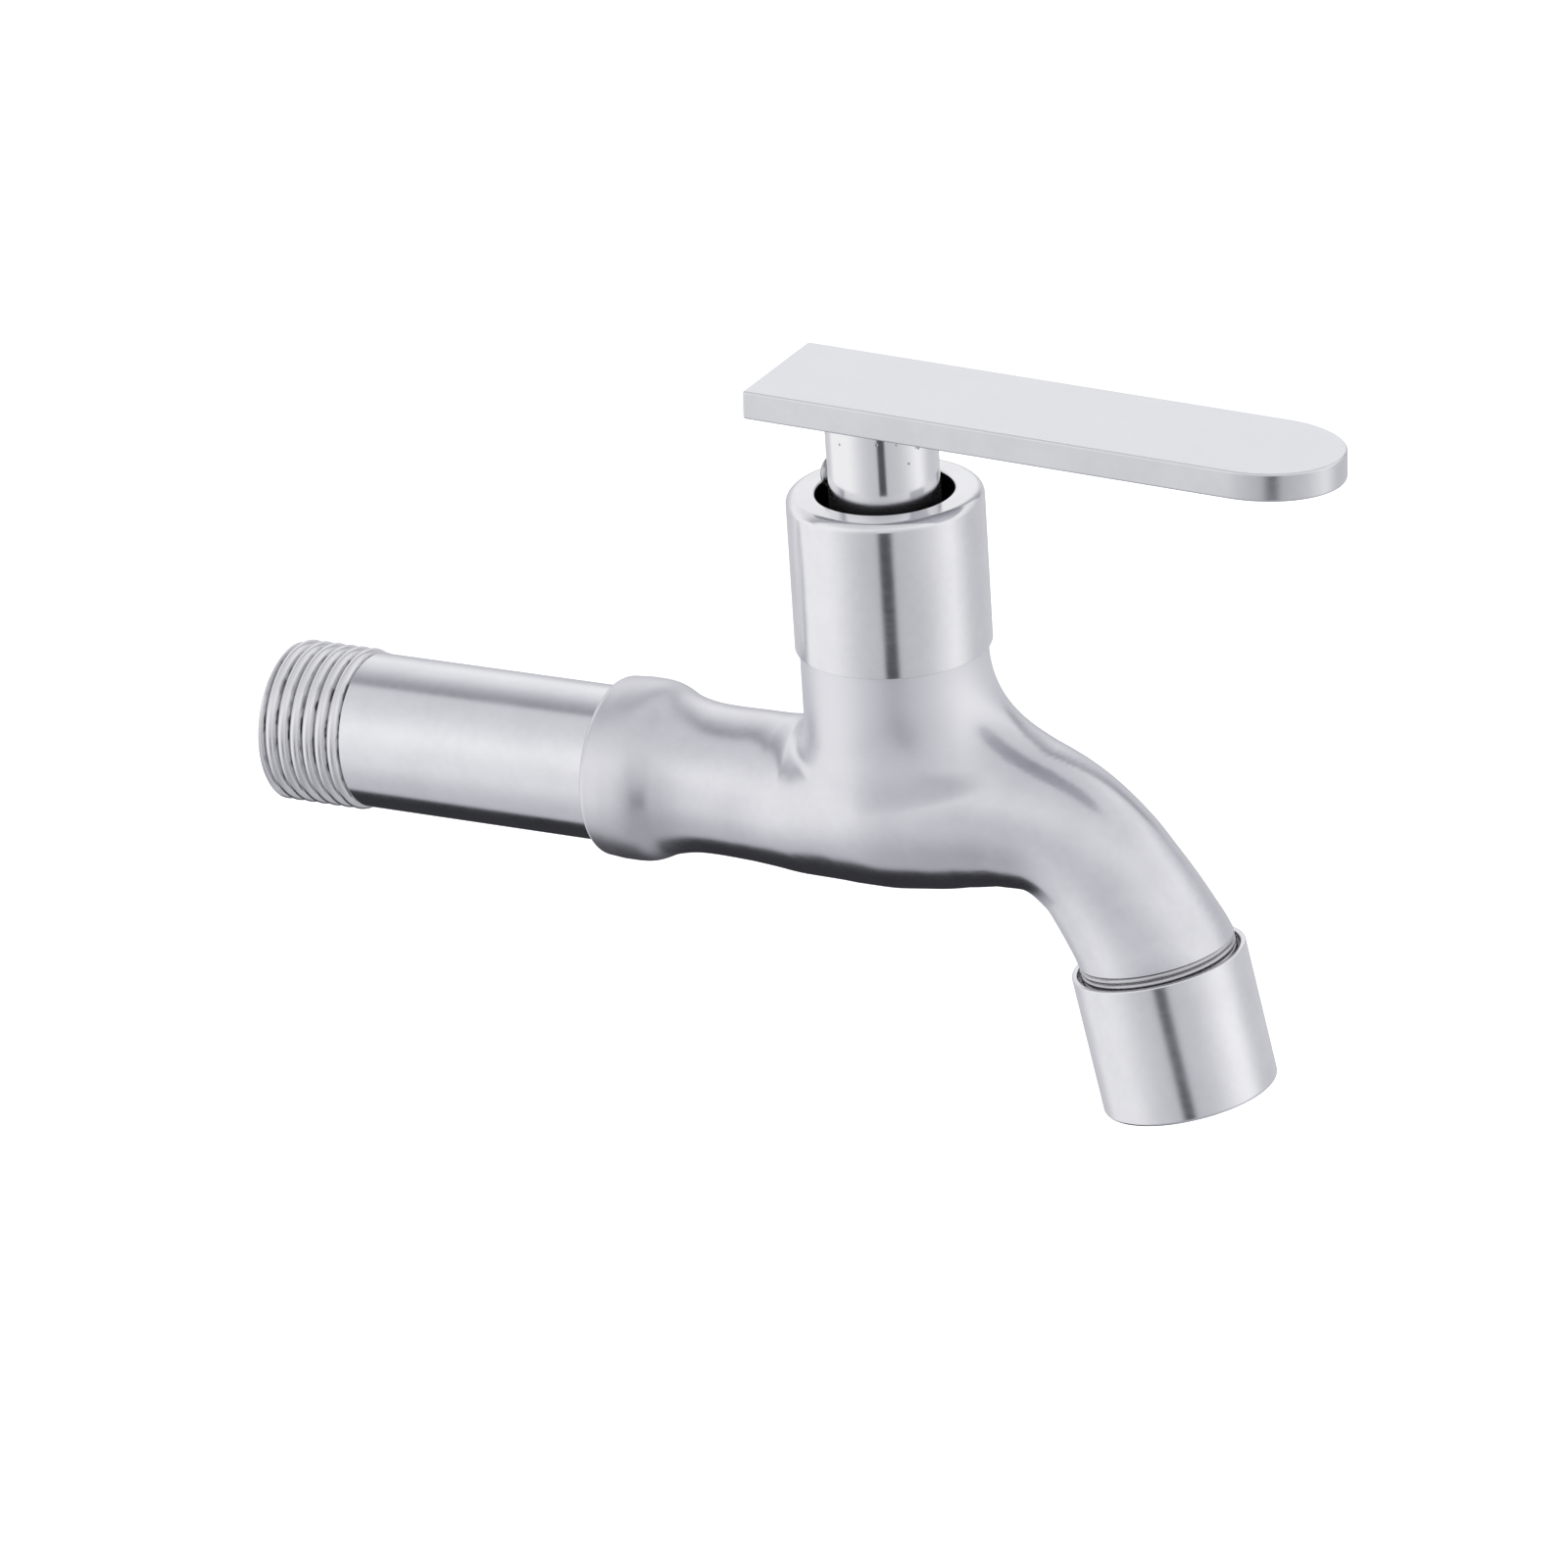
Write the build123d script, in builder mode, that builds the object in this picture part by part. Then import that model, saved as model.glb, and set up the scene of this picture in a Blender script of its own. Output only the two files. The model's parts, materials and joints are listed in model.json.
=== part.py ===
"""Wall-mounted bib tap with a quarter-turn ceramic headwork, a flat lever and a screwed nozzle.

Millimetres. The origin lies on the inlet pipe's axis, at the pipe's threaded end. +X runs along the
pipe towards the spout, +Z is up, and the lever stands over the spout as it does when the tap is shut.
"""

from build123d import *
from math import cos, radians, sin, sqrt
import os

os.makedirs("parts", exist_ok=True)

# Inlet pipe, with the male G 1/2 thread (14 turns to the inch)
thread_major_d = 20.955
thread_pitch = 1.814
thread_depth = 1.162
thread_crest_flat = 0.30
thread_root_flat = 0.26
thread_length = 12.0
thread_end_land = 0.15
thread_lead_chamfer = 0.40
pipe_d = 20.0
pipe_bore_d = 15.0
pipe_bore_chamfer = 0.6
socket_depth = 9.0
socket_clearance = 0.03

# Cast body. The collar's profile is a list of distances behind its rim and diameters.
collar_rim_x = 47.6
collar_profile = ((0.0, 22.5), (0.8, 23.15), (3.2, 23.5), (6.4, 23.1), (9.6, 20.55), (13.4, 19.25))
bonnet_x = 88.0
boss_d = 23.7
boss_top_z = 22.3
boss_foot_z = 1.0
boss_fillet = 6.5

# Centre line of the body from the neck to the spout's end: x, z and outside diameter.
# The chamber under the boss is a little wider than the boss, so that the boss runs down into its sides.
neck_section = (61.0, 0.0, 19.25)
chamber_sections = (
    (68.0, 0.0, 19.3),
    (72.0, 0.1, 20.1),
    (76.0, 0.7, 22.0),
    (82.0, 1.5, 23.7),
    (88.0, 1.75, 24.1),
    (94.0, 1.95, 23.2),
    (99.0, 2.1, 21.9),
)
bend_sections = (
    (104.4, 1.65, 20.0),
    (110.1, -0.1, 18.1),
    (114.9, -3.8, 17.6),
    (118.1, -8.0, 18.1),
)
spout_end_lean = 14.0
section_count = 26

# Waterways in the body
waterway_d = 13.0
waterway_end_x = 76.0
seat_z = 3.5
seat_port_d = 9.6
headwork_bore_d = 20.1
under_seat_d = 9.2
under_seat_z = -4.3
under_seat_start_x = 72.0
under_seat_wall = 4.2
outlet_port_d = 8.0
outlet_port_z = 8.0
outlet_port_end_x = 102.5

# Spout end: a cone that widens to the fine thread that the nozzle screws on
nozzle_lean = 11.4
nozzle_rim_x = 122.46
nozzle_rim_z = -15.86
spout_cone_above = 7.7
spout_cone_rise = 2.65
spout_bore_d = 12.8
spout_bore_start_x = 96.8
spout_mouth_step = 0.8
spout_mouth_above = 2.75
spout_thread_d = 19.9
spout_thread_pitch = 0.8
spout_thread_depth = 0.3
spout_thread_crest_flat = 0.2
spout_thread_root_flat = 0.1
spout_thread_above = 1.8
spout_thread_in = 7.5
spout_throat_x = 120.6
spout_throat_z = -12.1
spout_throat_rise = 0.5
spout_heart_x = 122.4
spout_heart_z = -16.6
spout_heart_rise = 1.45

# Nozzle: thin-walled sleeve over the spout end, and the aerator in it
nozzle_length = 18.3
nozzle_wall = 1.15
nozzle_rim_clearance = 0.5
nozzle_rim_depth = 3.0
nozzle_fit = 0.05
nozzle_lip = 1.0
nozzle_lip_inward = 1.0
nozzle_edge = 0.2
aerator_clearance = 0.1
aerator_washer_t = 1.5
aerator_washer_width = 3.4
housing_wall = 1.0
housing_flange_t = 0.8
housing_flange_inward = 2.4
housing_lip_t = 1.6
housing_lip_inward = 0.8
straightener_t = 2.5
straightener_skirt = 0.8
straightener_holes_across = 5.3
straightener_hole_share = 0.73
screen_t = 0.3
screen_holes_across = 9.2
screen_hole_share = 0.63

# Bonnet sleeve
bonnet_d = 24.8
bonnet_h = 20.5
bonnet_bore_d = 22.4
bonnet_mouth_d = 17.4
bonnet_lower_h = 10.7
bonnet_shoulder = 1.2
bonnet_mouth_round = 0.35

# Headwork: brass body, seals and ceramic discs
headwork_thread_d = 20.0
headwork_thread_length = 4.2
headwork_thread_pitch = 1.0
headwork_thread_depth = 0.45
headwork_thread_crest_flat = 0.2
headwork_thread_root_flat = 0.15
barrel_d = 17.8
barrel_bore_d = 15.2
seal_stand_out = 0.8
seat_seal_d = 14.8
seat_seal_bore_d = 10.0
seat_seal_t = 2.0
seal_ring_bore_d = 8.4
seal_ring_clearance = 0.05
seal_ring_t = 1.6
disc_d = 15.0
moving_disc_d = 14.8
disc_t = 2.5
disc_gap = 0.02
port_inner_r = 2.2
port_outer_r = 5.8
port_span = 80.0
key_width = 2.6
key_reach = 8.6
key_clearance = 0.1
window_width = 8.0
window_h = 3.1
flange_d = 21.9
flange_t = 1.6
hex_across = 18.0
hex_h = 6.0
neck_fit = 0.05
stem_bore_d = 10.1
shoulder_gap = 0.05
headwork_ring_d = 1.6
headwork_ring_groove = 1.9
headwork_ring_land = 0.6
headwork_neck_h = 3.0

# Spindle and what turns with it
tongue_width = 4.0
tongue_length = 13.0
tongue_bite = 1.1
tongue_clearance = 0.05
head_d = 14.6
head_t = 2.5
water_gap = 3.5
thrust_washer_t = 0.5
thrust_washer_d = 14.4
thrust_washer_clearance = 0.15
stem_clearance = 0.05
stem_ring_wire = 1.4
stem_ring_groove_w = 1.6
stem_ring_z = (23.0, 28.0)
stem_ring_stand_off = 0.03
stem_above_headwork = 1.7
circlip_t = 0.8
circlip_d = 12.4
circlip_gap_angle = 60.0
circlip_lift = 0.35
circlip_groove_d = 8.4
circlip_clearance = 0.05
spline_d = 8.0
spline_root_d = 7.3
spline_teeth = 20
spline_tooth_width = 0.62
spline_length = 9.2
spline_clearance = 0.05

# Lever, hub and grub screw
lever_under_z = 53.2
lever_t = 3.65
lever_width = 18.3
lever_heel = 14.4
lever_reach = 62.2
lever_tip_round = 11.0
lever_droop = 2.3
lever_edge = 0.3
hub_d = 14.0
hub_gap = 0.2
hub_edge = 0.3
hub_bore_spare = 0.4
grub_d = 4.0
grub_z = 44.2
grub_proud = 1.0
grub_clearance = 0.03
grub_socket_across = 2.0
grub_socket_depth = 2.0
grub_tip_gap = 0.02

# Sizes and places that follow from the sizes above
collar_shoulder_x = collar_rim_x + socket_depth
spout_cone_d = spout_thread_d - 2 * spout_cone_rise
spout_sections = (
    (spout_throat_x, spout_throat_z, spout_thread_d - 2 * spout_throat_rise),
    (spout_heart_x, spout_heart_z, spout_thread_d - 2 * spout_heart_rise),
)
nozzle_rim_bore_d = spout_thread_d + 2 * nozzle_rim_clearance
nozzle_bore_d = spout_thread_d + 2 * nozzle_fit
nozzle_lip_bore_d = nozzle_bore_d - 2 * nozzle_lip_inward
nozzle_d = nozzle_bore_d + 2 * nozzle_wall
nozzle_dir = Vector(sin(radians(nozzle_lean)), 0, -cos(radians(nozzle_lean)))
nozzle_side = Vector(cos(radians(nozzle_lean)), 0, sin(radians(nozzle_lean)))
nozzle_rim = Vector(nozzle_rim_x, 0, nozzle_rim_z)
bonnet_top_z = boss_top_z + bonnet_h
headwork_bottom_z = seat_z + seal_stand_out
fixed_disc_z = seat_z + seat_seal_t
moving_disc_z = fixed_disc_z + disc_t + disc_gap
disc_stack_top_z = moving_disc_z + disc_t
head_z = disc_stack_top_z + water_gap
head_top_z = head_z + head_t
shoulder_z = head_top_z + thrust_washer_t + shoulder_gap
headwork_thread_z = boss_top_z - headwork_ring_groove - headwork_ring_land - headwork_thread_length
headwork_top_z = boss_top_z + bonnet_lower_h + headwork_neck_h
stem_d = stem_bore_d - 2 * stem_clearance
stem_top_z = headwork_top_z + stem_above_headwork
hub_bottom_z = stem_top_z + hub_gap

# Planes: one through the pipe's axis, one through the bonnet's axis, one down the nozzle's axis
stem_plane = Plane(origin=(bonnet_x, 0, 0), x_dir=(1, 0, 0), z_dir=(0, -1, 0))
stem_axis = Axis((bonnet_x, 0, 0), (0, 0, 1))
nozzle_plane = Plane(origin=nozzle_rim, x_dir=nozzle_side, z_dir=(0, 1, 0))
nozzle_axis = Axis(nozzle_rim, nozzle_dir)
droop_x = Vector(cos(radians(lever_droop)), 0, -sin(radians(lever_droop)))
droop_up = Vector(sin(radians(lever_droop)), 0, cos(radians(lever_droop)))
lever_plane = Plane(origin=(bonnet_x, 0, lever_under_z), x_dir=droop_x, z_dir=droop_up)


def level(z):
    """A horizontal plane centred on the bonnet's axis."""
    return Plane(origin=(bonnet_x, 0, z))


def across(distance):
    """A plane square to the nozzle's axis, at a distance below its upper rim."""
    return Plane(origin=nozzle_rim + nozzle_dir * distance, x_dir=nozzle_side, z_dir=nozzle_dir)


def band(inner_d, outer_d, start, end):
    """A rectangle that turns into a ring: from one diameter to another, from one height to another."""
    with Locations(((inner_d + outer_d) / 4, (start + end) / 2)):
        Rectangle((outer_d - inner_d) / 2, end - start)


def vee_cuts(crest_d, pitch, depth, crest_flat, root_flat, first, count, mode=Mode.SUBTRACT):
    """Thread valleys in a turned profile whose axis is the sketch's own Y axis."""
    half_top = (pitch - crest_flat) / 2
    half_root = root_flat / 2
    crest_r = crest_d / 2
    overshoot = 0.2
    half_out = half_top + (half_top - half_root) * overshoot
    for turn in range(count):
        middle = first + turn * pitch
        Polygon(
            (crest_r + depth * overshoot, middle - half_out),
            (crest_r + depth * overshoot, middle + half_out),
            (crest_r - depth, middle + half_root),
            (crest_r - depth, middle - half_root),
            align=None,
            mode=mode,
        )


def annular_port(centre_angle):
    """A kidney-shaped port: the sector of a ring, as a sketch of its own."""
    start = centre_angle - port_span / 2
    with BuildSketch() as port:
        with BuildLine():
            outer = CenterArc((0, 0), port_outer_r, start, port_span)
            inner = CenterArc((0, 0), port_inner_r, start, port_span)
            Line(outer @ 0, inner @ 0)
            Line(outer @ 1, inner @ 1)
        make_face()
    return port.sketch


def spline_outline(clearance):
    """The spindle's splined section, or the hole for it when a clearance is given."""
    Circle(spline_root_d / 2 + clearance)
    with PolarLocations(0, spline_teeth):
        Rectangle(
            spline_d / 2 + clearance, spline_tooth_width + 2 * clearance, align=(Align.MIN, Align.CENTER)
        )


def hole_grid(holes_across, hole_share, inside_r, twist=0):
    """A square grid of round holes, so many across a circle, each a share of the pitch wide."""
    pitch = 2 * inside_r / holes_across
    hole_d = pitch * hole_share
    reach = int(inside_r / pitch)
    steps = range(-reach, reach + 1)
    places = [
        (column * pitch, row * pitch)
        for column in steps
        for row in steps
        if sqrt(column**2 + row**2) * pitch + hole_d / 2 < inside_r
    ]
    with Locations(Location((0, 0, 0), twist)):
        with Locations(*places):
            Circle(hole_d / 2, mode=Mode.SUBTRACT)


# Inlet pipe. The sketch's Y axis is the pipe's axis, so the profile is drawn on a turned plane.
pipe_plane = Plane(origin=(0, 0, 0), x_dir=(0, 0, 1), z_dir=(0, 1, 0))
thread_turns = int((thread_length - thread_end_land - thread_lead_chamfer) / thread_pitch)
last_valley = thread_length - thread_end_land - (thread_pitch - thread_crest_flat) / 2
with BuildPart() as inlet_pipe:
    with BuildSketch(pipe_plane):
        band(pipe_bore_d, pipe_d, 0, collar_shoulder_x)
        band(pipe_bore_d, thread_major_d, 0, thread_length)
        vee_cuts(
            thread_major_d, thread_pitch, thread_depth, thread_crest_flat, thread_root_flat,
            last_valley - (thread_turns - 1) * thread_pitch, thread_turns,
        )
    revolve(axis=Axis.X)
    end_edges = inlet_pipe.edges().filter_by(GeomType.CIRCLE).group_by(Axis.X)[0].sort_by(SortBy.RADIUS)
    chamfer(end_edges[-1], thread_lead_chamfer)
    inner_edges = inlet_pipe.edges().filter_by(GeomType.CIRCLE).group_by(Axis.X)[0].sort_by(SortBy.RADIUS)
    chamfer(inner_edges[0], pipe_bore_chamfer)
inlet_pipe.part.label = "inlet_pipe"
export_step(inlet_pipe.part, "parts/inlet_pipe.step")

# The body's centre line is a spline through (x, diameter, z), so position and thickness change together
body_sections = (neck_section, *chamber_sections, *bend_sections, *spout_sections)
centre_line = Spline(
    *((x, diameter, z) for x, z, diameter in body_sections),
    tangents=((1, 0, 0), (sin(radians(spout_end_lean)), 0, -cos(radians(spout_end_lean)))),
)
body_planes = []
for station in range(section_count):
    place = centre_line @ (station / (section_count - 1))
    along = centre_line % (station / (section_count - 1))
    section_plane = Plane(origin=(place.X, 0, place.Z), x_dir=(0, 1, 0), z_dir=(along.X, 0, along.Z))
    body_planes.append((section_plane, place.Y))
with BuildPart() as tap_body:
    # Neck, chamber and bend, lofted through round sections square to the centre line
    for section_plane, diameter in body_planes:
        with BuildSketch(section_plane):
            Circle(diameter / 2)
    loft()

    # Boss, blended into the chamber all round
    with BuildSketch(level(boss_foot_z)):
        Circle(boss_d / 2)
    extrude(amount=boss_top_z - boss_foot_z)
    saddle = tap_body.edges().filter_by(GeomType.BSPLINE).filter_by(
        lambda edge: abs(edge.center().X - bonnet_x) < boss_d / 2
    )
    fillet(saddle, boss_fillet)

    # Collar: a turned ring that swells behind its rim and falls to the neck
    with BuildSketch(Plane.XZ):
        with BuildLine():
            crown = Spline(
                *((collar_rim_x + x, diameter / 2) for x, diameter in collar_profile),
                tangents=((0, 1), (1, 0)),
            )
            Polyline(
                crown @ 1, ((crown @ 1).X, 0), (collar_rim_x, 0), crown @ 0
            )
        make_face()
    revolve(axis=Axis.X)

    # Cone and threaded end of the spout
    with BuildSketch(nozzle_plane):
        band(0, spout_thread_d, -spout_thread_above, spout_thread_in)
        with BuildLine():
            Polyline(
                (spout_cone_d / 2, -spout_cone_above), (spout_thread_d / 2, -spout_thread_above),
                (0, -spout_thread_above), (0, -spout_cone_above), close=True,
            )
        make_face()
    revolve(axis=nozzle_axis)
    with BuildSketch(nozzle_plane):
        valleys = int((spout_thread_above + spout_thread_in) / spout_thread_pitch) - 1
        vee_cuts(
            spout_thread_d, spout_thread_pitch, spout_thread_depth, spout_thread_crest_flat,
            spout_thread_root_flat, spout_thread_pitch - spout_thread_above, valleys, mode=Mode.ADD,
        )
    revolve(axis=nozzle_axis, mode=Mode.SUBTRACT)

    # Socket for the pipe, and the waterway to under the seat
    with BuildSketch(Plane.YZ.offset(collar_rim_x)):
        Circle(pipe_d / 2 + socket_clearance)
    extrude(amount=socket_depth, mode=Mode.SUBTRACT)
    with BuildSketch(Plane.YZ.offset(collar_shoulder_x)):
        Circle(waterway_d / 2)
    extrude(amount=waterway_end_x - collar_shoulder_x, mode=Mode.SUBTRACT)
    with BuildSketch(Plane.YZ.offset(under_seat_start_x)):
        with Locations((0, under_seat_z)):
            Circle(under_seat_d / 2)
    extrude(amount=spout_bore_start_x - under_seat_wall - under_seat_start_x, mode=Mode.SUBTRACT)
    with BuildSketch(level(seat_z)):
        Circle(seat_port_d / 2)
    extrude(amount=under_seat_z - seat_z, mode=Mode.SUBTRACT)

    # Bore for the headwork, and the way out to the spout
    with BuildSketch(level(seat_z)):
        Circle(headwork_bore_d / 2)
    extrude(amount=boss_top_z - seat_z, mode=Mode.SUBTRACT)
    with BuildSketch(Plane.YZ.offset(bonnet_x)):
        with Locations((0, outlet_port_z)):
            Circle(outlet_port_d / 2)
    extrude(amount=outlet_port_end_x - bonnet_x, mode=Mode.SUBTRACT)
    for section_plane, _ in body_planes:
        if section_plane.origin.X > spout_bore_start_x:
            with BuildSketch(section_plane):
                Circle(spout_bore_d / 2)
    loft(mode=Mode.SUBTRACT)
    with BuildSketch(nozzle_plane):
        band(0, spout_bore_d + 2 * spout_mouth_step, -spout_mouth_above, spout_thread_in)
    revolve(axis=nozzle_axis, mode=Mode.SUBTRACT)
tap_body.part.label = "tap_body"
export_step(tap_body.part, "parts/tap_body.step")

# Bonnet sleeve: wide inside over the hex and flange, narrow over the headwork's neck and the hub
with BuildPart() as bonnet_sleeve:
    with BuildSketch(stem_plane):
        band(bonnet_bore_d, bonnet_d, boss_top_z, boss_top_z + bonnet_lower_h)
        band(bonnet_mouth_d, bonnet_d, boss_top_z + bonnet_lower_h, bonnet_top_z)
    revolve(axis=stem_axis)
    top_edges = bonnet_sleeve.edges().filter_by(GeomType.CIRCLE).group_by(Axis.Z)[-1].sort_by(SortBy.RADIUS)
    fillet(top_edges[-1], bonnet_shoulder)
    top_edges = bonnet_sleeve.edges().filter_by(GeomType.CIRCLE).group_by(Axis.Z)[-1].sort_by(SortBy.RADIUS)
    fillet(top_edges[0], bonnet_mouth_round)
bonnet_sleeve.part.label = "bonnet_sleeve"
export_step(bonnet_sleeve.part, "parts/bonnet_sleeve.step")

# Headwork body: windowed barrel with the discs, thread with an O-ring groove over it, flange, hex
# and a neck that the bonnet screws to
neck_outer_d = bonnet_mouth_d - 2 * neck_fit
ring_groove_d = headwork_thread_d - 2 * headwork_ring_d
ring_groove_z = boss_top_z - headwork_ring_groove
with BuildPart() as headwork_body:
    with BuildSketch(stem_plane):
        band(barrel_bore_d, barrel_d, headwork_bottom_z, shoulder_z)
        band(stem_bore_d, barrel_d, shoulder_z, ring_groove_z)
        band(barrel_bore_d, headwork_thread_d, headwork_thread_z, ring_groove_z)
        band(stem_bore_d, ring_groove_d, ring_groove_z, boss_top_z)
        band(stem_bore_d, flange_d, boss_top_z, boss_top_z + flange_t)
        band(stem_bore_d, neck_outer_d, boss_top_z + flange_t, headwork_top_z)
        vee_cuts(
            headwork_thread_d, headwork_thread_pitch, headwork_thread_depth, headwork_thread_crest_flat,
            headwork_thread_root_flat, headwork_thread_z + headwork_thread_pitch / 2,
            int(headwork_thread_length / headwork_thread_pitch),
        )
    revolve(axis=stem_axis)
    with BuildSketch(level(boss_top_z + flange_t)):
        RegularPolygon(hex_across / 2, 6, major_radius=False)
        Circle(stem_bore_d / 2, mode=Mode.SUBTRACT)
    extrude(amount=hex_h)
    # Two slots hold the fixed disc's keys, and two windows between them let the water out
    with BuildSketch(level(headwork_bottom_z)):
        Rectangle(2 * barrel_d, key_width + 2 * key_clearance)
        Circle(barrel_bore_d / 2 - 1, mode=Mode.SUBTRACT)
    extrude(amount=fixed_disc_z + disc_t - headwork_bottom_z, mode=Mode.SUBTRACT)
    with BuildSketch(level(disc_stack_top_z + (water_gap - window_h) / 2)):
        Rectangle(window_width, 2 * barrel_d)
        Circle(barrel_bore_d / 2 - 1, mode=Mode.SUBTRACT)
    extrude(amount=window_h, mode=Mode.SUBTRACT)
headwork_body.part.label = "headwork_body"
export_step(headwork_body.part, "parts/headwork_body.step")

# O-ring that seals the headwork in the boss
with BuildPart() as headwork_o_ring:
    with BuildSketch(stem_plane):
        with Locations((ring_groove_d / 2 + headwork_ring_d / 2, ring_groove_z + headwork_ring_groove / 2)):
            Circle(headwork_ring_d / 2)
    revolve(axis=stem_axis)
headwork_o_ring.part.label = "headwork_o_ring"
export_step(headwork_o_ring.part, "parts/headwork_o_ring.step")

# Seat seal, and the stiff ring that keeps it round
with BuildPart() as seat_seal:
    with BuildSketch(stem_plane):
        band(seat_seal_bore_d, seat_seal_d, seat_z, fixed_disc_z)
    revolve(axis=stem_axis)
seat_seal.part.label = "seat_seal"
export_step(seat_seal.part, "parts/seat_seal.step")

with BuildPart() as seat_seal_ring:
    with BuildSketch(stem_plane):
        band(
            seal_ring_bore_d, seat_seal_bore_d - 2 * seal_ring_clearance,
            fixed_disc_z - seal_ring_t, fixed_disc_z,
        )
    revolve(axis=stem_axis)
seat_seal_ring.part.label = "seat_seal_ring"
export_step(seat_seal_ring.part, "parts/seat_seal_ring.step")

# Fixed disc: two ports to the sides and two keys to the front and back
with BuildPart() as fixed_ceramic_disc:
    with BuildSketch(level(fixed_disc_z)):
        Circle(disc_d / 2)
        Rectangle(2 * key_reach, key_width)
        add(annular_port(90), mode=Mode.SUBTRACT)
        add(annular_port(270), mode=Mode.SUBTRACT)
    extrude(amount=disc_t)
fixed_ceramic_disc.part.label = "fixed_ceramic_disc"
export_step(fixed_ceramic_disc.part, "parts/fixed_ceramic_disc.step")

# Moving disc: its ports lie a quarter turn from the fixed disc's, and a slot takes the spindle's tongue
with BuildPart() as moving_ceramic_disc:
    with BuildSketch(level(moving_disc_z)):
        Circle(moving_disc_d / 2)
        add(annular_port(0), mode=Mode.SUBTRACT)
        add(annular_port(180), mode=Mode.SUBTRACT)
    extrude(amount=disc_t)
    with BuildSketch(level(disc_stack_top_z)):
        Rectangle(tongue_width + 2 * tongue_clearance, 2 * moving_disc_d)
    extrude(amount=-tongue_bite, mode=Mode.SUBTRACT)
moving_ceramic_disc.part.label = "moving_ceramic_disc"
export_step(moving_ceramic_disc.part, "parts/moving_ceramic_disc.step")

# Spindle: tongue, head, stem with two O-ring grooves and a circlip groove, and the splined end
stem_ring_groove_d = stem_d - 2 * stem_ring_wire + 2 * stem_ring_stand_off
circlip_z = headwork_top_z + circlip_lift
with BuildPart() as spindle:
    with BuildSketch(stem_plane):
        band(0, head_d, head_z, head_top_z)
        band(0, stem_d, head_top_z, stem_top_z)
        for ring_z in stem_ring_z:
            with Locations(((stem_ring_groove_d + 2 * stem_d) / 4, ring_z)):
                Rectangle(stem_d - stem_ring_groove_d / 2, stem_ring_groove_w, mode=Mode.SUBTRACT)
        with Locations(((circlip_groove_d + 2 * stem_d) / 4, circlip_z + circlip_t / 2)):
            Rectangle(
                stem_d - circlip_groove_d / 2, circlip_t + 2 * circlip_clearance, mode=Mode.SUBTRACT
            )
    revolve(axis=stem_axis)
    with BuildSketch(level(disc_stack_top_z - tongue_bite + tongue_clearance)):
        Rectangle(tongue_width, tongue_length)
    extrude(amount=head_z - disc_stack_top_z + tongue_bite - tongue_clearance)
    with BuildSketch(level(stem_top_z)):
        spline_outline(0)
    extrude(amount=spline_length)
spindle.part.label = "spindle"
export_step(spindle.part, "parts/spindle.step")

# Slip washer over the spindle's head
with BuildPart() as thrust_washer:
    with BuildSketch(stem_plane):
        band(
            stem_d + 2 * thrust_washer_clearance, thrust_washer_d,
            head_top_z, head_top_z + thrust_washer_t,
        )
    revolve(axis=stem_axis)
thrust_washer.part.label = "thrust_washer"
export_step(thrust_washer.part, "parts/thrust_washer.step")

# Two O-rings on the stem
with BuildPart() as spindle_o_rings:
    with BuildSketch(stem_plane):
        for ring_z in stem_ring_z:
            with Locations((stem_d / 2 + stem_ring_stand_off - stem_ring_wire / 2, ring_z)):
                Circle(stem_ring_wire / 2)
    revolve(axis=stem_axis)
spindle_o_rings.part.label = "spindle_o_rings"
export_step(spindle_o_rings.part, "parts/spindle_o_rings.step")

# Circlip: an open ring in the groove above the headwork
with BuildPart() as circlip:
    with BuildSketch(level(circlip_z)):
        Circle(circlip_d / 2)
        Circle(circlip_groove_d / 2 + circlip_clearance, mode=Mode.SUBTRACT)
        with BuildLine():
            Polyline(
                (0, 0),
                (circlip_d, circlip_d * sin(radians(circlip_gap_angle / 2))),
                (circlip_d, -circlip_d * sin(radians(circlip_gap_angle / 2))),
                close=True,
            )
        make_face(mode=Mode.SUBTRACT)
    extrude(amount=circlip_t)
circlip.part.label = "circlip"
export_step(circlip.part, "parts/circlip.step")

# Lever hub: a round bar cut to the lever's slope, broached from below and drilled for the grub screw
spline_top_z = stem_top_z + spline_length
with BuildPart() as lever_hub:
    with BuildSketch(level(hub_bottom_z)):
        Circle(hub_d / 2)
    extrude(amount=lever_under_z + hub_d - hub_bottom_z)
    split(bisect_by=lever_plane, keep=Keep.BOTTOM)
    bottom_edge = lever_hub.edges().group_by(Axis.Z)[0]
    chamfer(bottom_edge, hub_edge)
    with BuildSketch(level(hub_bottom_z)):
        spline_outline(spline_clearance)
    extrude(amount=spline_top_z + hub_bore_spare - hub_bottom_z, mode=Mode.SUBTRACT)
    with BuildSketch(Plane(origin=(bonnet_x, 0, grub_z), x_dir=(0, 1, 0), z_dir=(-1, 0, 0))):
        Circle(grub_d / 2 + grub_clearance)
    extrude(amount=hub_d, mode=Mode.SUBTRACT)
lever_hub.part.label = "lever_hub"
export_step(lever_hub.part, "parts/lever_hub.step")

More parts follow.
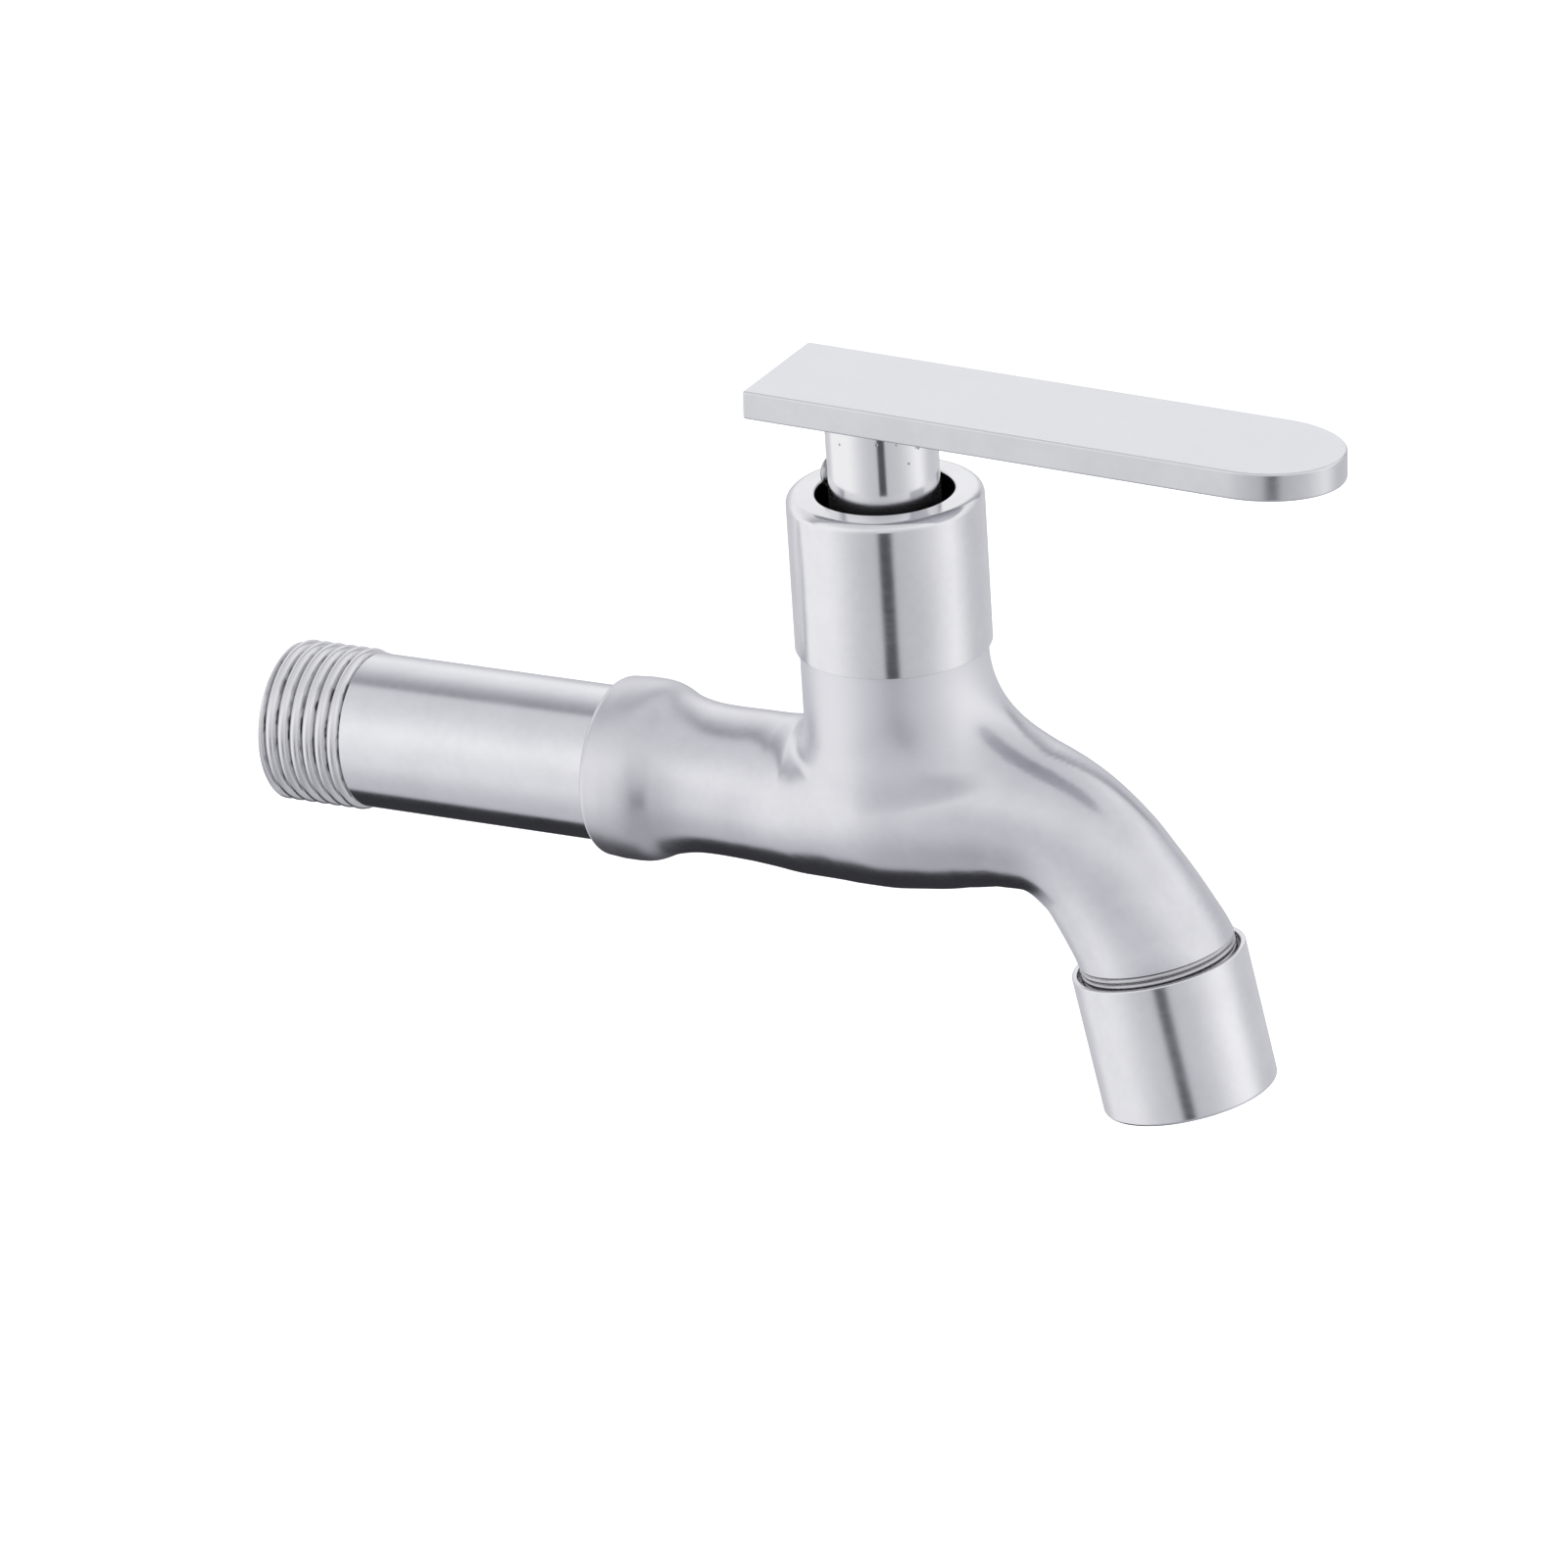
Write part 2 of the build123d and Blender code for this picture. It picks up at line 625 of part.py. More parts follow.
# Grub screw: it bears on the splines and stands a little out of the hub's back
grub_start = spline_d / 2 + grub_tip_gap
grub_end = hub_d / 2 + grub_proud
with BuildPart() as grub_screw:
    with BuildSketch(Plane(origin=(bonnet_x - grub_start, 0, grub_z), x_dir=(0, 1, 0), z_dir=(-1, 0, 0))):
        Circle(grub_d / 2)
    extrude(amount=grub_end - grub_start)
    with BuildSketch(Plane(origin=(bonnet_x - grub_end, 0, grub_z), x_dir=(0, 1, 0), z_dir=(-1, 0, 0))):
        RegularPolygon(grub_socket_across / 2, 6, major_radius=False)
    extrude(amount=-grub_socket_depth, mode=Mode.SUBTRACT)
grub_screw.part.label = "grub_screw"
export_step(grub_screw.part, "parts/grub_screw.step")

# Lever: a flat bar with a square heel and a rounded tip, sloping a little down to the tip
with BuildPart() as lever_plate:
    with BuildSketch(lever_plane):
        with BuildLine():
            tip = EllipticalCenterArc(
                (lever_reach - lever_tip_round, 0), lever_tip_round, lever_width / 2, -90, arc_size=180
            )
            Polyline(
                tip @ 1, (-lever_heel, lever_width / 2), (-lever_heel, -lever_width / 2), tip @ 0
            )
        make_face()
    extrude(amount=lever_t)
    flat_faces = lever_plate.faces().filter_by(lambda face: abs(face.normal_at().dot(droop_up)) > 0.99)
    chamfer(flat_faces.edges(), lever_edge)
lever_plate.part.label = "lever_plate"
export_step(lever_plate.part, "parts/lever_plate.step")

# Nozzle sleeve: a thin rim that stands clear of the spout, a threaded part and a lip at the mouth
nozzle_lip_s = nozzle_length - nozzle_lip
with BuildPart() as nozzle_sleeve:
    with BuildSketch(nozzle_plane):
        band(nozzle_rim_bore_d, nozzle_d, 0, nozzle_rim_depth)
        band(nozzle_bore_d, nozzle_d, nozzle_rim_depth, nozzle_lip_s)
        band(nozzle_lip_bore_d, nozzle_d, nozzle_lip_s, nozzle_length)
    revolve(axis=nozzle_axis)
    outside = nozzle_sleeve.faces().filter_by(GeomType.CYLINDER).sort_by(SortBy.AREA)[-1]
    chamfer(outside.edges().filter_by(GeomType.CIRCLE), nozzle_edge)
nozzle_sleeve.part.label = "nozzle_sleeve"
export_step(nozzle_sleeve.part, "parts/nozzle_sleeve.step")

# Aerator, stacked from the spout's end to the nozzle's lip
aerator_d = nozzle_bore_d - 2 * aerator_clearance
housing_s = spout_thread_in + aerator_washer_t
aerator_washer_bore_d = aerator_d - 2 * aerator_washer_width
housing_bore_d = aerator_d - 2 * housing_wall
housing_flange_bore_d = housing_bore_d - 2 * housing_flange_inward
housing_lip_bore_d = housing_bore_d - 2 * housing_lip_inward
straightener_s = housing_s + housing_flange_t
housing_lip_s = nozzle_lip_s - housing_lip_t
screen_d = housing_bore_d - 2 * aerator_clearance
lower_screen_s = housing_lip_s - screen_t
upper_screen_s = lower_screen_s - screen_t
with BuildPart() as aerator_washer:
    with BuildSketch(nozzle_plane):
        band(aerator_washer_bore_d, aerator_d, spout_thread_in, housing_s)
    revolve(axis=nozzle_axis)
aerator_washer.part.label = "aerator_washer"
export_step(aerator_washer.part, "parts/aerator_washer.step")

with BuildPart() as aerator_housing:
    with BuildSketch(nozzle_plane):
        band(housing_flange_bore_d, aerator_d, housing_s, straightener_s)
        band(housing_bore_d, aerator_d, straightener_s, housing_lip_s)
        band(housing_lip_bore_d, aerator_d, housing_lip_s, nozzle_lip_s)
    revolve(axis=nozzle_axis)
aerator_housing.part.label = "aerator_housing"
export_step(aerator_housing.part, "parts/aerator_housing.step")

with BuildPart() as flow_straightener:
    with BuildSketch(across(straightener_s)):
        Circle(screen_d / 2)
        hole_grid(straightener_holes_across, straightener_hole_share, screen_d / 2 - straightener_skirt)
    extrude(amount=straightener_t)
    with BuildSketch(across(straightener_s + straightener_t)):
        Circle(screen_d / 2)
        Circle(screen_d / 2 - straightener_skirt, mode=Mode.SUBTRACT)
    extrude(amount=upper_screen_s - straightener_s - straightener_t)
flow_straightener.part.label = "flow_straightener"
export_step(flow_straightener.part, "parts/flow_straightener.step")

for name, distance, twist in (
    ("aerator_screen_upper", upper_screen_s, 45), ("aerator_screen_lower", lower_screen_s, 0)
):
    with BuildPart() as screen:
        with BuildSketch(across(distance)):
            Circle(screen_d / 2)
            hole_grid(screen_holes_across, screen_hole_share, housing_lip_bore_d / 2, twist)
        extrude(amount=screen_t)
    screen.part.label = name
    export_step(screen.part, f"parts/{name}.step")
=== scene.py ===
# %% [markdown]
# # A wall-mounted bib tap, dressed for its picture
# The CAD model gives the frame: every piece below sits where its solid sits, in metres, with +X along the
# inlet pipe and +Z up. The outside pieces are made again here with the small rounds, the true screw thread
# and the soft cast blends that a flat-faced CAD mesh can't show. The inner pieces keep their CAD meshes.

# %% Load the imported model
import json
import math

import bmesh
import bpy
import numpy as np
from mathutils import Matrix, Vector
from mathutils.geometry import interpolate_bezier


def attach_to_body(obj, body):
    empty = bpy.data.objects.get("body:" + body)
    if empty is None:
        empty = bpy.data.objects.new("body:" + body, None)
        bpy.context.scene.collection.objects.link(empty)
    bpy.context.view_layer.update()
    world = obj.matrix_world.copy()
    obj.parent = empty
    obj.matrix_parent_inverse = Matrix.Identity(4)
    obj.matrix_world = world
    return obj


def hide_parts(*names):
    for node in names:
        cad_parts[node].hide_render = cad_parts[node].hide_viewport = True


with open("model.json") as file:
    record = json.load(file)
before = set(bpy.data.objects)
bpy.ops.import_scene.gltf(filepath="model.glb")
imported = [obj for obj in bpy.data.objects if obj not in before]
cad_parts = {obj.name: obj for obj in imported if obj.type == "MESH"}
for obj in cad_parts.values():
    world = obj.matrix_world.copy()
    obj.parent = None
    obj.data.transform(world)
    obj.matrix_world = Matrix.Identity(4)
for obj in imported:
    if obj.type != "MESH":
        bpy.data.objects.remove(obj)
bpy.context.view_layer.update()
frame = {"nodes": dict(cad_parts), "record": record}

# %% [markdown]
# ## Sizes
# The tap is drawn in millimetres, because its maker's drawing would be. Each mesh is scaled to metres in
# the last step of its making, so an object's own origin, turn and scale stay untouched. Four matrices say
# where the pipe, the bonnet, the nozzle and the lever stand, so that each can be drawn upright at zero.

# %% Sizes in millimetres
MM = 0.001
pipe_r = 10.0
pipe_bore_r = 7.5
collar_rim = 47.6
socket_end = 56.6
bonnet_x = 88.0
bonnet_r = 12.4
bonnet_top = 42.8
boss_r = 11.85
boss_top = 22.3
mouth_r = 8.7
lever_under = 53.2
lever_t = 3.65
lever_droop = math.radians(2.3)
nozzle_lean = math.radians(11.4)
nozzle_rim = Vector((122.46, 0, -15.86))
nozzle_r = 11.15
nozzle_length = 18.3
spout_end = -1.4
spout_thread_r = 9.95
spout_bore_r = 6.4
print("diameters: pipe", 2 * pipe_r, "bonnet", 2 * bonnet_r, "nozzle", 2 * nozzle_r)

# %% Where each turned piece stands
down_nozzle = Vector((math.sin(nozzle_lean), 0, -math.cos(nozzle_lean)))
nozzle_side = Vector((math.cos(nozzle_lean), 0, math.sin(nozzle_lean)))
along_lever = Vector((math.cos(lever_droop), 0, -math.sin(lever_droop)))
off_lever = Vector((math.sin(lever_droop), 0, math.cos(lever_droop)))


def stood(x_axis, z_axis, origin):
    """The matrix that puts a piece drawn around its own Z axis into the frame."""
    x_axis, z_axis = Vector(x_axis), Vector(z_axis)
    turn = Matrix((x_axis, z_axis.cross(x_axis), z_axis)).transposed().to_4x4()
    return Matrix.Translation(origin) @ turn


on_pipe = stood((0, 0, 1), (1, 0, 0), (0, 0, 0))
on_bonnet = stood((1, 0, 0), (0, 0, 1), (bonnet_x, 0, 0))
on_nozzle = stood(nozzle_side, down_nozzle, nozzle_rim)
on_lever = stood(along_lever, off_lever, (bonnet_x, 0, lever_under))
on_grub = stood((0, 0, 1), (-1, 0, 0), (bonnet_x, 0, 44.2))
print("the nozzle points along", [round(part, 3) for part in down_nozzle])

# %% [markdown]
# ## Making a piece
# A shape is worked out in a bmesh, and one function turns it into a named object: it places the shape,
# scales it to metres, smooths its faces and keeps the real corners sharp. Then the piece is tied to the
# moving body, and the CAD node that it stands for is hidden. Its normals are weighted by face area, or else a
# long face beside a small round would mirror the studio as if it were curved.


# %% From a bmesh to a piece of the tap
def crisp(piece, angle):
    """Smooth faces, with the edges above an angle in degrees left sharp."""
    piece.data.polygons.foreach_set("use_smooth", [True] * len(piece.data.polygons))
    piece.data.set_sharp_from_angle(angle=math.radians(angle))
    return piece


def make_object(bm, name, place=Matrix(), sharp=35):
    """A new object from a bmesh in millimetres."""
    bmesh.ops.remove_doubles(bm, verts=bm.verts, dist=1e-4)
    bmesh.ops.recalc_face_normals(bm, faces=bm.faces)
    bmesh.ops.transform(bm, matrix=Matrix.Scale(MM, 4) @ place, verts=bm.verts)
    mesh = bpy.data.meshes.new(name)
    bm.to_mesh(mesh)
    bm.free()
    piece = bpy.data.objects.new(name, mesh)
    bpy.context.scene.collection.objects.link(piece)
    return crisp(piece, sharp)


def attach(piece, body, slot, finish, *nodes):
    """Tie a finished piece to its body and its finish, and hide the CAD nodes it stands for; its slot is not
    used.
    """
    even = piece.modifiers.new("even shading", "WEIGHTED_NORMAL")
    even.keep_sharp = True
    piece.data.materials.clear()
    piece.data.materials.append(finish)
    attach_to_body(piece, body)
    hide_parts(*nodes)
    print(piece.name, len(piece.data.polygons), "faces, standing for", nodes)


# %% [markdown]
# ## Turning and cutting
# Most of this tap comes off a lathe, so most pieces are an outline spun round an axis, with their corners
# bevelled afterwards. Holes are cut with Boolean modifiers, as a drill would, and the cutter is thrown away.


# %% Lathe and drill
def turned(outline, steps=128):
    """A turned shape: a closed outline of (radius, height) points, spun round the Z axis."""
    bm = bmesh.new()
    points = [bm.verts.new((radius, 0, height)) for radius, height in outline]
    edges = [bm.edges.new(pair) for pair in zip(points, points[1:] + points[:1])]
    bmesh.ops.spin(
        bm, geom=points + edges, cent=(0, 0, 0), axis=(0, 0, 1), angle=math.tau, steps=steps, use_merge=True
    )
    bmesh.ops.remove_doubles(bm, verts=bm.verts, dist=1e-4)
    flat = [face for face in bm.faces if face.calc_area() < 1e-9]
    bmesh.ops.delete(bm, geom=flat, context="FACES")
    bmesh.ops.recalc_face_normals(bm, faces=bm.faces)
    return bm


def soften(bm, rings, width, segments=3):
    """Round the circular edges that run through the given (radius, height) points."""

    def on_ring(vert):
        radius = math.hypot(vert.co.x, vert.co.y)
        return any(math.dist((radius, vert.co.z), ring) < 0.002 for ring in rings)

    edges = [edge for edge in bm.edges if all(map(on_ring, edge.verts))]
    bmesh.ops.bevel(
        bm, geom=edges, offset=width, affect="EDGES", segments=segments, profile=0.5, material=-1
    )
    return bm


def baked(piece):
    """Apply a piece's modifiers, so that its mesh holds the finished shape."""
    shaped = piece.evaluated_get(bpy.context.evaluated_depsgraph_get())
    mesh = bpy.data.meshes.new_from_object(shaped)
    mesh.name = piece.name
    piece.modifiers.clear()
    old, piece.data = piece.data, mesh
    bpy.data.meshes.remove(old)
    return piece


def carved(piece, *cutters):
    """Cut other shapes out of a piece, and drop them."""
    for cutter in cutters:
        cut = piece.modifiers.new("cut", "BOOLEAN")
        cut.operation = "DIFFERENCE"
        cut.solver = "EXACT"
        cut.object = cutter
    baked(piece)
    for cutter in cutters:
        bpy.data.objects.remove(cutter)
    return piece


# %% [markdown]
# ## Shader maths in Python
# The finishes here are sums of noises and masks. `Link` wraps a socket, so that `0.3 + 0.1 * clouds` adds
# the Math nodes it needs. `Finish` fills a material, or the world, and adds any node from its type, its
# settings and its inputs.


# %% A socket that can be reckoned with
class Link:
    """A socket that can stand in a Python expression."""

    def __init__(self, finish, socket):
        self.finish, self.socket = finish, socket

    def math(self, operation, *values):
        return self.finish.node("ShaderNodeMath", {"operation": operation}, dict(enumerate(values)))

    def __add__(self, other):
        return self.math("ADD", self, other)

    def __sub__(self, other):
        return self.math("SUBTRACT", self, other)

    def __rsub__(self, other):
        return self.math("SUBTRACT", other, self)

    def __mul__(self, other):
        return self.math("MULTIPLY", self, other)

    def __pow__(self, other):
        return self.math("POWER", self, other)

    def __abs__(self):
        return self.math("ABSOLUTE", self)

    def step(self, low, high):
        """0 below low, 1 above high, and smooth between them."""
        return self.finish.node(
            "ShaderNodeMapRange",
            {"interpolation_type": "SMOOTHSTEP"},
            {"Value": self, "From Min": low, "From Max": high},
        )

    __radd__ = __add__
    __rmul__ = __mul__


# %% A material's nodes
class Finish:
    """A material, or the world, and the nodes in it."""

    def __init__(self, owner):
        self.owner = owner
        owner.use_nodes = True
        self.tree = owner.node_tree
        self.tree.nodes.clear()

    def node(self, kind, settings=None, inputs=None, output=0):
        """Add a node: its settings first, then its inputs as numbers, colours or links."""
        made = self.tree.nodes.new(kind)
        for key, value in (settings or {}).items():
            setattr(made, key, value)
        for key, value in (inputs or {}).items():
            if isinstance(value, Link):
                self.tree.links.new(value.socket, made.inputs[key])
            else:
                made.inputs[key].default_value = value
        return Link(self, made.outputs[output]) if made.outputs else None

    def place(self, scale=(1, 1, 1), turn=(0, 0, 0)):
        """Object coordinates, turned and stretched."""
        where = self.node("ShaderNodeTexCoord", output="Object")
        return self.node("ShaderNodeMapping", {}, {"Vector": where, "Scale": scale, "Rotation": turn})

    def along(self, vector, direction):
        """How far a vector goes in one direction."""
        return self.node(
            "ShaderNodeVectorMath", {"operation": "DOT_PRODUCT"}, {0: vector, 1: direction}, output="Value"
        )

    def noise(self, scale, detail=3, where=None, roughness=0.5):
        inputs = {"Scale": scale, "Detail": detail, "Roughness": roughness, "Vector": where or self.place()}
        return self.node("ShaderNodeTexNoise", {}, inputs)

    def blend(self, share, first, second):
        """A colour between two colours."""
        inputs = {"Factor": share, 6: first, 7: second}
        return self.node("ShaderNodeMix", {"data_type": "RGBA"}, inputs, output=2)

    def bump(self, height):
        """A Bump node for a height in metres."""
        return self.node("ShaderNodeBump", {}, {"Height": height, "Distance": 1.0, "Strength": 1.0})

    def surface(self, **values):
        """The Principled shader, with spaces in its socket names written as underscores."""
        inputs = {key.replace("_", " "): value for key, value in values.items()}
        shader = self.node("ShaderNodeBsdfPrincipled", {}, inputs, output="BSDF")
        self.node("ShaderNodeOutputMaterial", {}, {"Surface": shader})
        return self.owner


def new_finish(name):
    print("finish:", name)
    return Finish(bpy.data.materials.new(name))


# %% [markdown]
# ## Camera
# The camera stands where the photograph was taken from: a little above the tap, to the right of its front
# and far away, with a long lens. Its place and turn were fitted to the tap's outline.

# %% Camera
azimuth, elevation, roll = math.radians(28.19), math.radians(23.055), math.radians(3.771)
toward = Vector((
    math.sin(azimuth) * math.cos(elevation), -math.cos(azimuth) * math.cos(elevation), math.sin(elevation)
))
level_right = Vector((math.cos(azimuth), math.sin(azimuth), 0))
level_up = toward.cross(level_right)
image_right = math.cos(roll) * level_right - math.sin(roll) * level_up
image_up = math.cos(roll) * level_up + math.sin(roll) * level_right
camera_data = bpy.data.cameras.new("camera")
camera_data.lens = 206.89
camera_data.sensor_width = 36
camera_data.shift_x = -0.0060
camera_data.shift_y = -0.0121
camera_data.clip_end = 50
camera = bpy.data.objects.new("camera", camera_data)
camera.matrix_world = (
    Matrix.Translation((0.5679, -0.92405, 0.4496))
    @ Matrix((image_right, image_up, toward)).transposed().to_4x4()
)
bpy.context.scene.collection.objects.link(camera)
bpy.context.scene.camera = camera
bpy.context.scene.view_settings.view_transform = "Standard"
print("camera looks along", [round(-part, 3) for part in toward])

# %% [markdown]
# ## Steel finishes
# All outside pieces are the same stainless steel, worked in different ways: cast and rubbed satin, turned,
# drawn or polished. One recipe makes them all. Broad clouds and a fine mottle shift its colour and its
# roughness, low waves bend what it mirrors, and turned pieces get fine lines round their axis. Two optional
# masks change it in places: one only makes it duller, the other gives it another colour and roughness.


# %% The steel recipe
rubbed_dull = 0.16


def steel(name, tint, rough, wave=4e-6, long_wave=0.0, lines=None, turn=(0, 0, 0), dull=None, patch=None):
    """Stainless steel; heights are in metres and scales in repeats to the metre.

    dull is the mask of a duller area, and patch is another area's mask, colour and added roughness.
    """
    finish = new_finish(name)
    clouds, mottle = finish.noise(140, 4), finish.noise(900, 3)
    height = finish.noise(260, 2) * wave + mottle * (wave * 0.2)
    roughness = rough + 0.06 * (clouds - 0.5) + 0.05 * (mottle - 0.5)
    if long_wave:
        height = height + finish.noise(95, 1) * long_wave
    if lines:
        scratches = finish.noise(1.0, 2, finish.place(lines, turn), 0.7)
        height = height + scratches * 8e-7
        roughness = roughness + 0.08 * (scratches - 0.5)
    if dull:
        roughness = roughness + rubbed_dull * dull(finish)
    shade = (clouds * 0.7 + mottle * 0.3).step(0.3, 0.7)
    colour = finish.blend(shade, (*(0.96 * part for part in tint), 1), (*(1.03 * part for part in tint), 1))
    if patch:
        area, other_tint, rougher = patch
        share = area(finish)
        colour = finish.blend(share, colour, (*other_tint, 1))
        roughness = roughness + rougher * share
    return finish.surface(Base_Color=colour, Metallic=1.0, Roughness=roughness, Normal=finish.bump(height))


def off_bonnet_axis(finish):
    """The distance from the bonnet's upright axis, in metres."""
    where = finish.place()
    aside = finish.along(where, (1, 0, 0)) - bonnet_x * MM
    ahead = finish.along(where, (0, 1, 0))
    return (aside * aside + ahead * ahead) ** 0.5


# %% [markdown]
# The collar and the boss of the casting were rubbed down by hand and left duller than the rest, and the boss
# is paler too. The inside of the bonnet's mouth is painted black, which is painted shade in the deep gap. The
# lever's flat faces are brushed matt and painted paler than its edge, which is painted light that brightens
# its
# top, and its thin edge is polished: the mask for the faces is the height from the middle of the plate.


# %% Where a piece of steel changes
def on_collar(finish):
    return 1 - finish.along(finish.place(), (1, 0, 0)).step(54 * MM, 64 * MM)


def on_boss(finish):
    height = finish.along(finish.place(), (0, 0, 1))
    return (1 - off_bonnet_axis(finish).step(11 * MM, 17 * MM)) * height.step(7 * MM, 19 * MM)


# Painted shade: the inside of the mouth is painted black where the deep gap lies in shadow.
def mouth_painted_shade(finish):
    return 1 - off_bonnet_axis(finish).step((mouth_r + 0.03) * MM, (mouth_r + 0.1) * MM)


# Painted light: this mask also gives the flat faces a paler colour, so that the top reads brighter.
def matt_faces_and_painted_light(finish):
    half_t = lever_t / 2
    middle = (Vector((bonnet_x, 0, lever_under)).dot(off_lever) + half_t) * MM
    height = finish.along(finish.place(), off_lever) - middle
    return abs(height).step((half_t - 0.05) * MM, (half_t - 0.01) * MM)


# %% Steel of each piece
cast_satin = steel(
    "cast satin steel", (0.7, 0.7, 0.738), 0.21, long_wave=3e-5, dull=on_collar,
    patch=(on_boss, (0.8, 0.8, 0.835), 0.24),
)
brushed_pipe = steel("brushed pipe steel", (0.75, 0.752, 0.785), 0.16, lines=(5000, 60, 60))
turned_bonnet = steel(
    "turned bonnet steel", (0.765, 0.765, 0.79), 0.16, wave=7e-6, lines=(60, 60, 5000),
    # The mouth's inside is painted black: painted shade.
    patch=(mouth_painted_shade, (0.01, 0.01, 0.012), 0.3),
)
turned_nozzle = steel(
    "turned nozzle steel", (0.78, 0.78, 0.81), 0.2, wave=7e-6, lines=(60, 60, 5000),
    turn=(0, -nozzle_lean, 0),
)
# The lever's flat faces are rougher, and painted paler than its edge: painted light that brightens its top.
satin_lever = steel(
    "satin lever steel", (0.735, 0.74, 0.76), 0.25, wave=2e-6, patch=(matt_faces_and_painted_light, (0.865, 0.87, 0.895), 0.18)
)
screw_steel = steel("screw steel", (0.55, 0.55, 0.57), 0.22)
fine_thread_steel = steel("fine thread steel", (0.55, 0.55, 0.57), 0.28, wave=8e-6)

# %% [markdown]
# The hub under the lever is polished, which shows the few small pits that any casting has: the cells of a
# Voronoi texture, kept only where a slow noise is high. Its foot is painted darker where it goes down into
# the
# mouth of the bonnet: painted shade.

# %% Polished hub with casting pits
hub_finish = new_finish("polished hub steel")
cells = hub_finish.node("ShaderNodeTexVoronoi", {}, {"Vector": hub_finish.place(), "Scale": 650})
pits = (1 - cells.step(0.06, 0.17)) * hub_finish.noise(160, 2).step(0.5, 0.62)
swell = hub_finish.noise(300, 2)
height = hub_finish.along(hub_finish.place(), (0, 0, 1))
# Painted shade: the hub's foot is painted darker down into the bonnet's mouth.
foot = 1 - height.step((bonnet_top - 1.5) * MM, (bonnet_top + 1.8) * MM)
pitted_unshaded = hub_finish.blend(pits, (0.8, 0.8, 0.82, 1), (0.2, 0.2, 0.21, 1))
polished_steel = hub_finish.surface(
    Base_Color=hub_finish.blend(0.5 * foot, pitted_unshaded, (0.02, 0.02, 0.022, 1)),
    Metallic=1.0,
    Roughness=0.13 + 0.05 * (swell - 0.5) + 0.3 * pits + 0.25 * foot,
    Normal=hub_finish.bump(swell * 6e-6 - pits * 4e-5),
)

# %% [markdown]
# The inlet thread was cut and never polished. Its crests are bright and its grooves duller and painted a
# little darker, which is painted shade, so the distance from the pipe's axis makes the mask. A noise
# stretched round the pipe leaves dark torn patches in them.

# %% Thread as it was cut
thread_finish = new_finish("cut thread steel")
aside = thread_finish.along(thread_finish.place(), (0, 1, 0))
above = thread_finish.along(thread_finish.place(), (0, 0, 1))
groove = 1 - ((aside * aside + above * above) ** 0.5).step(9.4 * MM, 10.25 * MM)
torn = thread_finish.noise(1.0, 4, thread_finish.place((2400, 420, 420)))
patches = torn.step(0.52, 0.66) * groove
# Painted shade: the grooves are painted a little darker than the crests.
groove_shaded_colour = thread_finish.blend(groove, (0.78, 0.78, 0.8, 1), (0.72, 0.72, 0.74, 1))
thread_steel = thread_finish.surface(
    Base_Color=thread_finish.blend(patches, groove_shaded_colour, (0.09, 0.09, 0.1, 1)),
    Metallic=1.0,
    Roughness=0.24 + 0.12 * groove + 0.2 * patches + 0.1 * (torn - 0.5),
    Normal=thread_finish.bump(torn * 6e-6 - patches * 3e-5),
)

# %% [markdown]
# ## Inner pieces
# Brass, rubber, plastic and ceramic are hidden in the headwork and the nozzle, or seen only from below.
# They keep their CAD meshes and get plain finishes with a little unevenness in tone, gloss and height.


# %% Finishes of the inner pieces
def plain(name, tint, rough, metallic=0.0):
    """A moulded, turned or fired material."""
    finish = new_finish(name)
    clouds = finish.noise(180, 3)
    return finish.surface(
        Base_Color=finish.blend(clouds, (*(0.88 * part for part in tint), 1), (*tint, 1)),
        Metallic=metallic,
        Roughness=rough + 0.08 * (clouds - 0.5),
        Normal=finish.bump(finish.noise(3000, 2) * 1e-6 + clouds * 2e-5),
    )


inner_finishes = {
    "headwork_brass": plain("turned brass", (0.78, 0.6, 0.3), 0.28, 1.0),
    "spindle_brass": plain("spindle brass", (0.74, 0.57, 0.3), 0.25, 1.0),
    "black_rubber": plain("black rubber", (0.035, 0.035, 0.037), 0.55),
    "white_plastic": plain("white plastic", (0.8, 0.8, 0.78), 0.4),
    "disc_ceramic": plain("lapped ceramic", (0.85, 0.85, 0.83), 0.15),
    "spring_steel": plain("spring steel", (0.32, 0.32, 0.34), 0.35, 1.0),
    "screen_steel": plain("screen steel", (0.62, 0.62, 0.64), 0.3, 1.0),
}
slot_of = {entry["node"]: entry["material_slot"] for entry in frame["record"]["subparts"]}
for node, shown in frame["nodes"].items():
    if slot_of[node] in inner_finishes:
        for material_slot in shown.material_slots:
            material_slot.material = inner_finishes[slot_of[node]]
        print(node, "is", inner_finishes[slot_of[node]].name)

# %% [markdown]
# ## Inlet thread
# The real thread is one groove that climbs round the pipe. A spin that also lifts does the same: one
# tooth's outline goes round, and rises by a pitch in each turn. The skin is then sawn off square, closed,
# bored through, and given the worn lead-in at its open end.


# %% A screw's skin
def screw(crest_r, depth, pitch, first_valley, turns, steps=96):
    """The skin of a right-hand thread with rounded crests."""
    shares = (0.0, 0.04, 0.09, 0.15, 0.22, 0.3, 0.4, 0.5, 0.6, 0.7, 0.78, 0.85, 0.91, 0.96, 1.0)
    bm = bmesh.new()
    points = []
    for share in shares:
        below_crest = depth * (1 - math.sin(math.pi * share) ** 0.6)
        points.append(bm.verts.new((crest_r - below_crest, 0, first_valley + share * pitch)))
    edges = [bm.edges.new(pair) for pair in zip(points, points[1:])]
    bmesh.ops.spin(
        bm, geom=points + edges, cent=(0, 0, 0), axis=(0, 0, 1), dvec=(0, 0, pitch / steps),
        angle=math.tau * turns, steps=steps * turns,
    )
    bmesh.ops.remove_doubles(bm, verts=bm.verts, dist=1e-3)
    return bm


